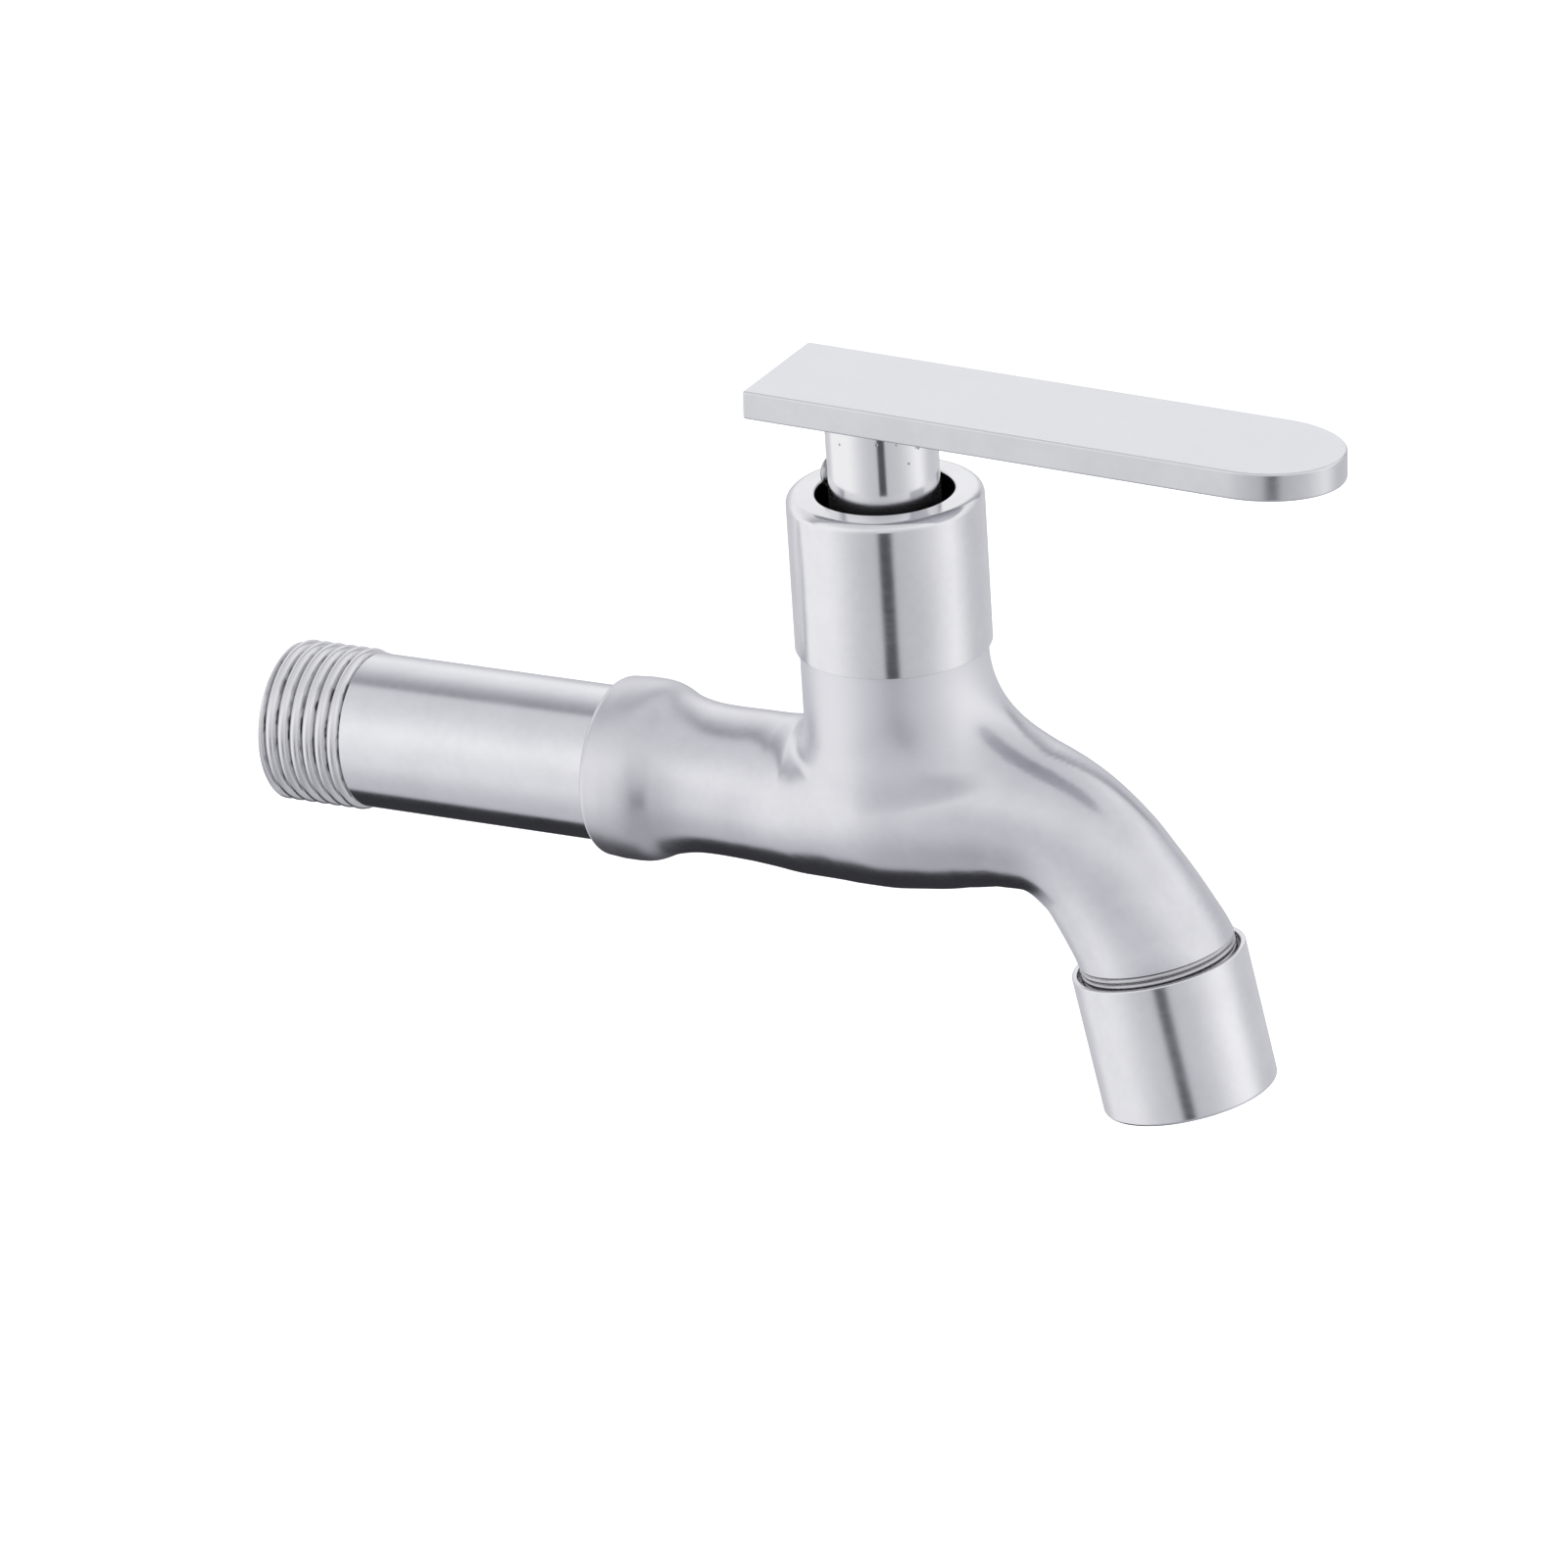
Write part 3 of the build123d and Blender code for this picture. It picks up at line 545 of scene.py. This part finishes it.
def sawn(bm, low, high):
    """Saw a shape off square at two heights, and close the ends."""
    for height, side in ((low, "clear_inner"), (high, "clear_outer")):
        bmesh.ops.bisect_plane(
            bm, geom=bm.verts[:] + bm.edges[:] + bm.faces[:], plane_co=(0, 0, height), plane_no=(0, 0, 1),
            **{side: True},
        )
        rim = [e for e in bm.edges if e.is_boundary and all(abs(v.co.z - height) < 1e-4 for v in e.verts)]
        bmesh.ops.edgeloop_fill(bm, edges=rim)
    return bm


# %% Inlet thread, with the slope where its last groove runs out
thread_r = 10.4775
thread_depth = 1.162
thread_pitch = 1.814
last_valley = 11.25
thread_core_r = 8.6
run_out = 11.93
core_end = 13.0
climb = Matrix(((1, 0, 0, 0), (0, 1, 0, 0), (-0.045, 0, 1, 0), (0, 0, 0, 1)))
thread_skin = screw(thread_r, thread_depth, thread_pitch, last_valley - 8 * thread_pitch, 11)
thread_blank = sawn(thread_skin, 0, core_end)
pipe_thread = make_object(thread_blank, "pipe_thread", on_pipe)
bore_cutter = make_object(
    turned([(0, -1), (9.1, -1), (pipe_bore_r, 0.6), (pipe_bore_r, 14), (0, 14)]), "bore_cutter", on_pipe
)
lead_cutter = make_object(turned([(9.7, -1), (12, -1), (12, 1.9), (9.7, -0.4)]), "lead_cutter", on_pipe)
land_outline = [
    (thread_core_r, run_out), (pipe_r, run_out), (10.6, run_out - 0.3), (12, run_out - 0.3), (12, 15),
    (thread_core_r, 15),
]
land_cutter = make_object(turned(land_outline), "land_cutter", on_pipe @ climb)
crisp(carved(pipe_thread, bore_cutter, lead_cutter, land_cutter), 40)
attach(pipe_thread, "tap", "brushed_pipe", thread_steel, "inlet_pipe")

# %% [markdown]
# ## Plain pipe
# Behind the thread the pipe is a plain drawn tube that goes into the collar. Its start slopes with the
# climb of the last groove, so the ring there is sheared by the same small amount as the cutter was.

# %% Plain pipe
pipe_outline = [
    (thread_core_r, run_out), (pipe_r, run_out), (pipe_r, socket_end - 0.1), (pipe_bore_r, socket_end - 0.1),
    (pipe_bore_r, core_end), (thread_core_r, core_end),
]
pipe_mesh = soften(turned(pipe_outline), [(pipe_r, run_out)], 0.12)
start_ring = [vert for vert in pipe_mesh.verts if vert.co.z < run_out + 0.3]
bmesh.ops.transform(pipe_mesh, matrix=climb, verts=start_ring)
pipe_tube = make_object(pipe_mesh, "pipe_tube", on_pipe)
attach(pipe_tube, "tap", "brushed_pipe", brushed_pipe, "inlet_pipe")

# %% [markdown]
# ## Cast body
# Collar, chamber, boss and spout are one casting with no seams. Two plain shapes are drawn for it, a tube of
# rings along a curve and an upright stub for the boss, and a voxel remesh makes one skin of them. The skin is
# stepped and has a hard corner, so it is then drawn onto a true blend of the two shapes.


# %% A soft curve, and a tube of rings
def smooth_through(points, per_span):
    """Points on a soft curve that passes through every given one."""
    points = [Vector(point) for point in points]
    padded = [2 * points[0] - points[1]] + points + [2 * points[-1] - points[-2]]
    tangents = [(after - before).normalized() for before, after in zip(padded, padded[2:])]
    line = []
    for start, end, leave, arrive in zip(points, points[1:], tangents, tangents[1:]):
        reach = (end - start).length / 3
        span = interpolate_bezier(start, start + leave * reach, end - arrive * reach, end, per_span + 1)
        line += span[:-1]
    return line + [points[-1]]


def ring_tube(rings, segments=96):
    """A closed tube through rings, each a centre, a direction and a radius."""
    bm = bmesh.new()
    loops = []
    for centre, direction, radius in rings:
        place = stood((0, 1, 0), direction, centre)
        ring = bmesh.ops.create_circle(bm, segments=segments, radius=radius, matrix=place)["verts"]
        loops.append(list({edge for vert in ring for edge in vert.link_edges}))
    bmesh.ops.edgeloop_fill(bm, edges=loops[0])
    bmesh.ops.edgeloop_fill(bm, edges=loops[-1])
    for first, second in zip(loops, loops[1:]):
        bmesh.ops.bridge_loops(bm, edges=first + second)
    return bm


# %% [markdown]
# The casting's centre line was measured in the photograph: the collar swells and narrows again, the chamber
# under the boss bulges, and the spout bends down and grows to the size of its thread. Each point holds an x,
# a diameter and a z, and a soft curve runs through them all.

# %% Centre line: x, diameter and z
def beside_nozzle(distance, aside, diameter):
    """A point of the centre line, by its distance below the nozzle's rim and aside from its axis."""
    place = nozzle_rim + down_nozzle * distance + nozzle_side * aside
    return (place.x, diameter, place.z)


collar_points = (
    (46.9, 23.0, 0.0), (48.4, 23.15, 0.0), (50.8, 23.5, 0.0), (54.0, 23.1, 0.0), (57.2, 20.55, 0.0),
    (61.0, 19.25, 0.0),
)
chamber_points = (
    (68.0, 19.3, -0.05), (72.0, 19.7, -0.15), (76.0, 20.7, -0.05), (82.0, 22.9, 0.95), (88.0, 24.1, 1.75),
    (94.0, 23.2, 1.95), (99.0, 21.9, 2.1),
)
bend_points = ((104.4, 20.1, 1.65), (110.1, 18.2, -0.1), (114.9, 17.75, -3.8), (118.1, 18.25, -8.0))
spout_points = (
    beside_nozzle(-4.6, -1.05, 19.05), beside_nozzle(spout_end, 0, 2 * spout_thread_r),
    beside_nozzle(1.0, 0, 2 * spout_thread_r),
)
line_points = collar_points + chamber_points + bend_points + spout_points
print("centre line of", len(line_points), "points")


# %% The two shapes of the casting
def square_rings(line):
    """Rings square to the line, which come square to the nozzle as they near its rim."""
    rings = []
    for before, here, after in zip([line[0]] + line, line, line[1:] + [line[-1]]):
        centre = Vector((here.x, 0, here.z))
        along = Vector((after.x - before.x, 0, after.z - before.z)).normalized()
        share = ((centre - nozzle_rim).dot(down_nozzle) + 9.0) / (9.0 + spout_end)
        rings.append((centre, along.lerp(down_nozzle, min(max(share, 0), 1)).normalized(), here.y / 2))
    return rings


shapes = [
    make_object(ring_tube(square_rings(smooth_through(line_points, 6))), "tube"),
    make_object(turned([(0, 1), (boss_r, 1), (boss_r, 24), (0, 24)]), "boss", on_bonnet),
]
gathered = bmesh.new()
for shape in shapes:
    gathered.from_mesh(shape.data)
    bpy.data.objects.remove(shape)
bmesh.ops.scale(gathered, vec=(1 / MM,) * 3, verts=gathered.verts)
cast_body = make_object(gathered, "cast_body")

# %% One skin
skin = cast_body.modifiers.new("one skin", "REMESH")
skin.mode = "VOXEL"
skin.voxel_size = 0.34 * MM
baked(cast_body)
print("cast body skin", len(cast_body.data.polygons), "faces")

# %% [markdown]
# How far is a point outside the tube, and outside the stub? A soft minimum of both answers the same for the
# casting. It is soft only where the two skins cross: over a wide span before the boss, a narrow one behind
# it, and none where they run side by side. It fades out low down, where the stub ends inside the tube. Each
# point of the skin then goes to where that distance is zero, in a few short steps along the way out.

# %% Distances to the tube, the stub and their blend
behind_span, ahead_span = 2.2, 9.5
stub_end, fade_height = 2, 8
ring_reach = 13
far_off = 99


def length(vectors):
    return np.linalg.norm(vectors, axis=1, keepdims=True)


fine_rings = square_rings(smooth_through(line_points, 24))
centres = np.array([centre[:] for centre, _, _ in fine_rings])
directions = np.array([direction[:] for _, direction, _ in fine_rings])
radii = np.array([radius for _, _, radius in fine_rings])
way = np.concatenate(([0], length(np.diff(centres, axis=0))[:, 0].cumsum()))
slopes = np.gradient(radii, way)


def off_tube(points):
    """How far points are outside the tube, and the way out."""
    from_plane = points @ directions.T - (centres * directions).sum(1)
    from_centre = np.sqrt((points**2).sum(1)[:, None] - 2 * points @ centres.T + (centres**2).sum(1))
    nearest = np.where(from_centre < radii + ring_reach, np.abs(from_plane), far_off).argmin(1)
    along = from_plane[np.arange(len(points)), nearest][:, None]
    out = points - centres[nearest] - along * directions[nearest]
    return length(out) - radii[nearest, None] - along * slopes[nearest, None], out / length(out)


def off_stub(points):
    """How far points are outside the boss, and the way out."""
    out = (points - (bonnet_x, 0, 0)) * (1, 1, 0)
    return np.where(points[:, 2:] > stub_end, length(out) - boss_r, far_off), out / length(out)


def off_casting(points):
    """How far points are outside the blend of both, and the way out."""
    (tube, tube_out), (stub, stub_out) = off_tube(points), off_stub(points)
    ahead = (1 + stub_out[:, :1]) / 2
    span = (behind_span + (ahead_span - behind_span) * ahead) * length(np.cross(tube_out, stub_out))
    rise = np.clip((points[:, 2:] - stub_end) / fade_height, 0, 1)
    span = span * rise**2 * (3 - 2 * rise) + 0.01
    share = np.clip((stub - tube) / span, -1, 1)
    distance = np.minimum(tube, stub) - span * (1 - np.abs(share)) ** 2 / 4
    return distance, tube_out * (1 + share) / 2 + stub_out * (1 - share) / 2


# %% Draw the skin onto the blend
rounds, steps_out, blocks = 3, 4, 12
for _ in range(rounds):
    even_out = cast_body.modifiers.new("even out", "SMOOTH")
    even_out.iterations = 2
    baked(cast_body)
    places = np.array([vert.co for vert in cast_body.data.vertices]) / MM
    clear_of_rim = places[:, 0] > collar_rim - 0.4
    below_top = places[:, 2] < boss_top + 0.8
    before_end = (places - nozzle_rim) @ down_nozzle <= spout_end + 1
    moved = np.nonzero(clear_of_rim & below_top & before_end)[0]
    for block in np.array_split(moved, blocks):
        for _ in range(steps_out):
            distance, out = off_casting(places[block])
            places[block] -= out * distance / length(out) ** 2
    cast_body.data.vertices.foreach_set("co", (places * MM).ravel())
print("points drawn onto the blend", len(moved), "farthest off", float(np.abs(distance).max()))

# %% [markdown]
# The casting is then machined: the pipe's socket and waterway, the well for the headwork, the flat on top of
# the boss, the spout's bore and its end. The collar's rim is turned too, which gives it a crisp little round.

# %% Machine the casting
pipe_socket = [(0, 40), (10.03, 40), (10.03, socket_end), (6.5, socket_end), (6.5, 76), (0, 76)]
rim_turning = [
    (0, 46), (13, 46), (13, 48.9), (11.62, 48.5), (11.5, 48.05), (11.36, 47.78), (11.15, collar_rim),
    (0, collar_rim),
]
carved(
    cast_body,
    make_object(turned(rim_turning), "rim_turning", on_pipe),
    make_object(turned(pipe_socket), "pipe_socket", on_pipe),
    make_object(turned([(0, boss_top), (16, boss_top), (16, 27), (0, 27)]), "boss_facing", on_bonnet),
    make_object(turned([(0, 3.5), (10.05, 3.5), (10.05, 30), (0, 30)]), "headwork_well", on_bonnet),
    make_object(turned([(0, spout_end), (13, spout_end), (13, 6), (0, 6)]), "end_facing", on_nozzle),
    make_object(turned([(0, -4), (spout_bore_r, -4), (spout_bore_r, 3), (0, 3)]), "spout_bore", on_nozzle),
)
crisp(cast_body, 50)
attach(cast_body, "tap", "cast_satin", cast_satin, "tap_body")

# %% [markdown]
# ## Spout thread
# The nozzle screws on a fine thread, and its first turns show above the nozzle's rim. It is made and sawn
# like the inlet thread, only finer, and bored to the spout's own bore.

# %% Spout thread
spout_screw = sawn(screw(spout_thread_r, 0.3, 0.8, spout_end - 1.6, 14, 72), spout_end, 7.5)
spout_thread = make_object(spout_screw, "spout_thread", on_nozzle)
bore_outline = [(0, -3), (spout_bore_r, -3), (spout_bore_r, 9), (0, 9)]
thread_bore = make_object(turned(bore_outline), "thread_bore", on_nozzle)
crisp(carved(spout_thread, thread_bore), 40)
attach(spout_thread, "tap", "cast_satin", fine_thread_steel, "tap_body")

# %% [markdown]
# ## Bonnet
# A plain turned sleeve over the headwork. What makes it look real is how its edges are broken: a wide round
# on its shoulder, a tight one at its mouth and a mere touch at its foot.

# %% Bonnet
bonnet_outline = [
    (11.2, boss_top), (bonnet_r, boss_top), (bonnet_r, bonnet_top), (mouth_r, bonnet_top),
    (mouth_r, 33.0), (11.2, 33.0),
]
bonnet = turned(bonnet_outline, 160)
soften(bonnet, [(bonnet_r, bonnet_top)], 1.2, 8)
soften(bonnet, [(mouth_r, bonnet_top)], 0.35, 4)
soften(bonnet, [(bonnet_r, boss_top)], 0.12, 2)
bonnet_piece = make_object(bonnet, "bonnet", on_bonnet)
attach(bonnet_piece, "tap", "turned_sleeve", turned_bonnet, "bonnet_sleeve")

# %% [markdown]
# ## Nozzle
# A thin sleeve, open at its upper rim, with a lip at its lower end that holds the aerator. It could be a
# cylinder with a Solidify modifier, but its wall changes in thickness, so it is spun as an outline too.

# %% Nozzle
nozzle_outline = [
    (10.45, 0), (nozzle_r, 0), (nozzle_r, nozzle_length), (9.0, nozzle_length), (9.0, 17.3), (10.0, 17.3),
    (10.0, 3.0), (10.45, 3.0),
]
nozzle = turned(nozzle_outline, 160)
soften(nozzle, [(nozzle_r, 0), (10.45, 0)], 0.18, 3)
soften(nozzle, [(nozzle_r, nozzle_length)], 0.45, 6)
soften(nozzle, [(9.0, nozzle_length)], 0.3, 4)
nozzle_piece = make_object(nozzle, "nozzle", on_nozzle)
attach(nozzle_piece, "tap", "turned_nozzle", turned_nozzle, "nozzle_sleeve")

# %% [markdown]
# ## Lever hub
# The hub goes over the spindle, and its top is cut to the lever's slope. A spin can't make that slanted top,
# so the hub is spun too high, cut by a plane, and the cut is closed with a ring of faces.

# %% Lever hub
hub_r, hub_bore_r, hub_bottom = 7.0, 4.05, 37.9
hub = turned([(hub_bore_r, hub_bottom), (hub_r, hub_bottom), (hub_r, 60), (hub_bore_r, 60)], 96)
bmesh.ops.bisect_plane(
    hub, geom=hub.verts[:] + hub.edges[:] + hub.faces[:], plane_co=(0, 0, lever_under), plane_no=off_lever,
    clear_outer=True,
)
bmesh.ops.bridge_loops(hub, edges=[edge for edge in hub.edges if edge.is_boundary])
soften(hub, [(hub_r, hub_bottom)], 0.3)
hub_piece = make_object(hub, "hub", on_bonnet)
screw_hole = make_object(turned([(0, 2), (2.03, 2), (2.03, 9), (0, 9)], 48), "screw_hole", on_grub)
crisp(carved(hub_piece, screw_hole), 35)
attach(hub_piece, "handle", "polished_hub", polished_steel, "lever_hub")

# %% [markdown]
# ## Grub screw
# A small set screw with a hexagon socket stands out of the hub on the wall's side. It shows its thread and
# its broken edge, and is made like the inlet thread, in another size.

# %% Grub screw
grub_end = 8.0
grub_piece = make_object(sawn(screw(2.0, 0.3, 0.7, 2.4, 10, 32), 4.02, grub_end), "grub", on_grub)
broken_edge = make_object(
    turned([(1.55, grub_end + 0.1), (2.4, 7.25), (2.4, 9), (1.55, 9)], 48), "broken_edge", on_grub
)
socket = bmesh.new()
bmesh.ops.create_cone(socket, cap_ends=True, segments=6, radius1=1.155, radius2=1.155, depth=4)
bmesh.ops.translate(socket, verts=socket.verts, vec=(0, 0, grub_end))
crisp(carved(grub_piece, broken_edge, make_object(socket, "key_hole", on_grub)), 35)
attach(grub_piece, "handle", "screw_steel", screw_steel, "grub_screw")

# %% [markdown]
# ## Lever
# The lever is a flat plate with a rounded tip: half an ellipse from a spun point, two straight sides and a
# square heel. It is filled, extruded and bevelled all round, because the real plate's edges are broken.

# %% Lever
tip_length, half_width, tip_x, heel_x = 11.0, 9.15, 62.2, -14.4
lever = bmesh.new()
first = lever.verts.new((0, -1, 0))
bmesh.ops.spin(lever, geom=[first], cent=(0, 0, 0), axis=(0, 0, 1), angle=math.pi, steps=48, use_merge=False)
ellipse = Matrix.Translation((tip_x - tip_length, 0, 0)) @ Matrix.Diagonal((tip_length, half_width, 1, 1))
bmesh.ops.transform(lever, matrix=ellipse, verts=lever.verts)
near_end = min(lever.verts, key=lambda vert: vert.co.y)
far_end = max(lever.verts, key=lambda vert: vert.co.y)
near_heel = lever.verts.new((heel_x, -half_width, 0))
far_heel = lever.verts.new((heel_x, half_width, 0))
for pair in ((near_end, near_heel), (near_heel, far_heel), (far_heel, far_end)):
    lever.edges.new(pair)
bmesh.ops.edgeloop_fill(lever, edges=lever.edges)
top = bmesh.ops.extrude_face_region(lever, geom=lever.faces[:])["geom"]
raised = [part for part in top if isinstance(part, bmesh.types.BMVert)]
bmesh.ops.translate(lever, verts=raised, vec=(0, 0, lever_t))
bmesh.ops.recalc_face_normals(lever, faces=lever.faces)
corners = [edge for edge in lever.edges if edge.calc_face_angle(0) > math.radians(30)]
bmesh.ops.bevel(lever, geom=corners, offset=0.3, affect="EDGES", segments=4, profile=0.5, material=-1)
lever_piece = make_object(lever, "lever", on_lever)
attach(lever_piece, "handle", "satin_lever", satin_lever, "lever_plate")

# %% [markdown]
# ## Floor
# A plain pale sheet far below the tap. It keeps the tap's faint shadow, and glows for the camera alone, so
# that the picture has a white ground. Polished steel doesn't mirror it, only the studio round it.

# %% Floor
floor_mesh = bmesh.new()
bmesh.ops.create_grid(floor_mesh, x_segments=1, y_segments=1, size=8)
bmesh.ops.translate(floor_mesh, verts=floor_mesh.verts, vec=(0, 0, -0.3))
floor_data = bpy.data.meshes.new("floor")
floor_mesh.to_mesh(floor_data)
floor_mesh.free()
floor = bpy.data.objects.new("floor", floor_data)
bpy.context.scene.collection.objects.link(floor)
floor.visible_glossy = False
paper = new_finish("floor paper")
seen = paper.node("ShaderNodeLightPath", output="Is Camera Ray")
floor_data.materials.append(paper.surface(
    Base_Color=(0.85, 0.85, 0.85, 1), Roughness=0.9, Emission_Color=(1, 1, 1, 1), Emission_Strength=seen * 0.6
))
print("floor at", floor_data.vertices[0].co.z, "m")

# %% [markdown]
# ## Studio
# Bare steel shows only what stands round it. The camera sees plain white, and the metal mirrors a white
# studio with soft dark places: the camera's own side is grey, a thin black flag beside it draws the dark
# line down each upright cylinder, the floor falls off to black behind the tap, and the ceiling panel ends
# in an edge a little past the top. Each is a smooth step on how far a ray goes in one direction. Only the
# reflections see this studio: all other light is even, and a little below the white that the camera sees.

# %% Studio helpers
world = bpy.data.worlds.new("studio")
bpy.context.scene.world = world
studio = Finish(world)
ray = studio.node("ShaderNodeTexCoord", output="Generated")
left, far, up = (studio.along(ray, axis) for axis in ((-1, 0, 0), (0, 1, 0), (0, 0, 1)))


def toward_angle(azimuth, elevation):
    """A unit vector, with the angles measured as the camera's are."""
    azimuth, elevation = math.radians(azimuth), math.radians(elevation)
    return (
        math.sin(azimuth) * math.cos(elevation), -math.cos(azimuth) * math.cos(elevation), math.sin(elevation)
    )


def shade(azimuth, elevation, low, high, depth):
    """1 everywhere, and darker by a depth round one direction."""
    return 1 - depth * studio.along(ray, toward_angle(azimuth, elevation)).step(low, high)


def flag(azimuth, width, soft, depth):
    """A narrow black flag at one azimuth, that stands up to just under the horizon."""
    off = abs(studio.along(ray, toward_angle(azimuth + 90, 0)))
    near = studio.along(ray, toward_angle(azimuth, -20)).step(0.6, 0.85)
    tall = up.step(-0.56, -0.44) * (1 - up.step(-0.16, -0.02))
    return 1 - depth * (1 - off.step(width - soft, width + soft)) * near * tall


# %% What the steel mirrors
behind = studio.along(ray, toward_angle(230, 0))
below = 0 - up - left.math("MAXIMUM", left, 0.43)
dark_floor = far.step(-0.17, -0.07) * left.step(-0.1, 0.2) * below.step(-0.02, 0.12)
panel_edge = behind.step(0.355, 0.405) * (1 - behind.step(0.405, 0.77)) * up.step(0.0, 0.3)
mirrored = (1 - 0.93 * dark_floor) * (1 - 0.52 * panel_edge)
soft_shades = {
    "camera's side": (28, -23, 0.3, 1.05, 0.38),
    "floor": (0, -90, 0.3, 1.0, 0.44),
    "ceiling": (0, 90, 0.3, 1.0, 0.26),
    "far left": (225, -15, 0.75, 1.0, 0.35),
    "far right": (165, -20, 0.55, 0.95, 0.33),
}
for soft_shade in soft_shades.values():
    mirrored = mirrored * shade(*soft_shade)
mirrored = mirrored * flag(24, 0.125, 0.04, 0.86)
camera_ray = studio.node("ShaderNodeLightPath", output="Is Camera Ray")
glossy_ray = studio.node("ShaderNodeLightPath", output="Is Glossy Ray")
level = camera_ray + glossy_ray * mirrored * 1.07 + (1 - camera_ray - glossy_ray) * 0.8
tone = studio.blend(camera_ray.math("MAXIMUM", camera_ray, mirrored), (0.87, 0.88, 1.0, 1), (1, 1, 1, 1))
backdrop = studio.node("ShaderNodeBackground", {}, {"Color": tone, "Strength": level}, output="Background")
studio.node("ShaderNodeOutputWorld", {}, {"Surface": backdrop})
print("studio: a flag and soft shades at the", ", ".join(soft_shades))
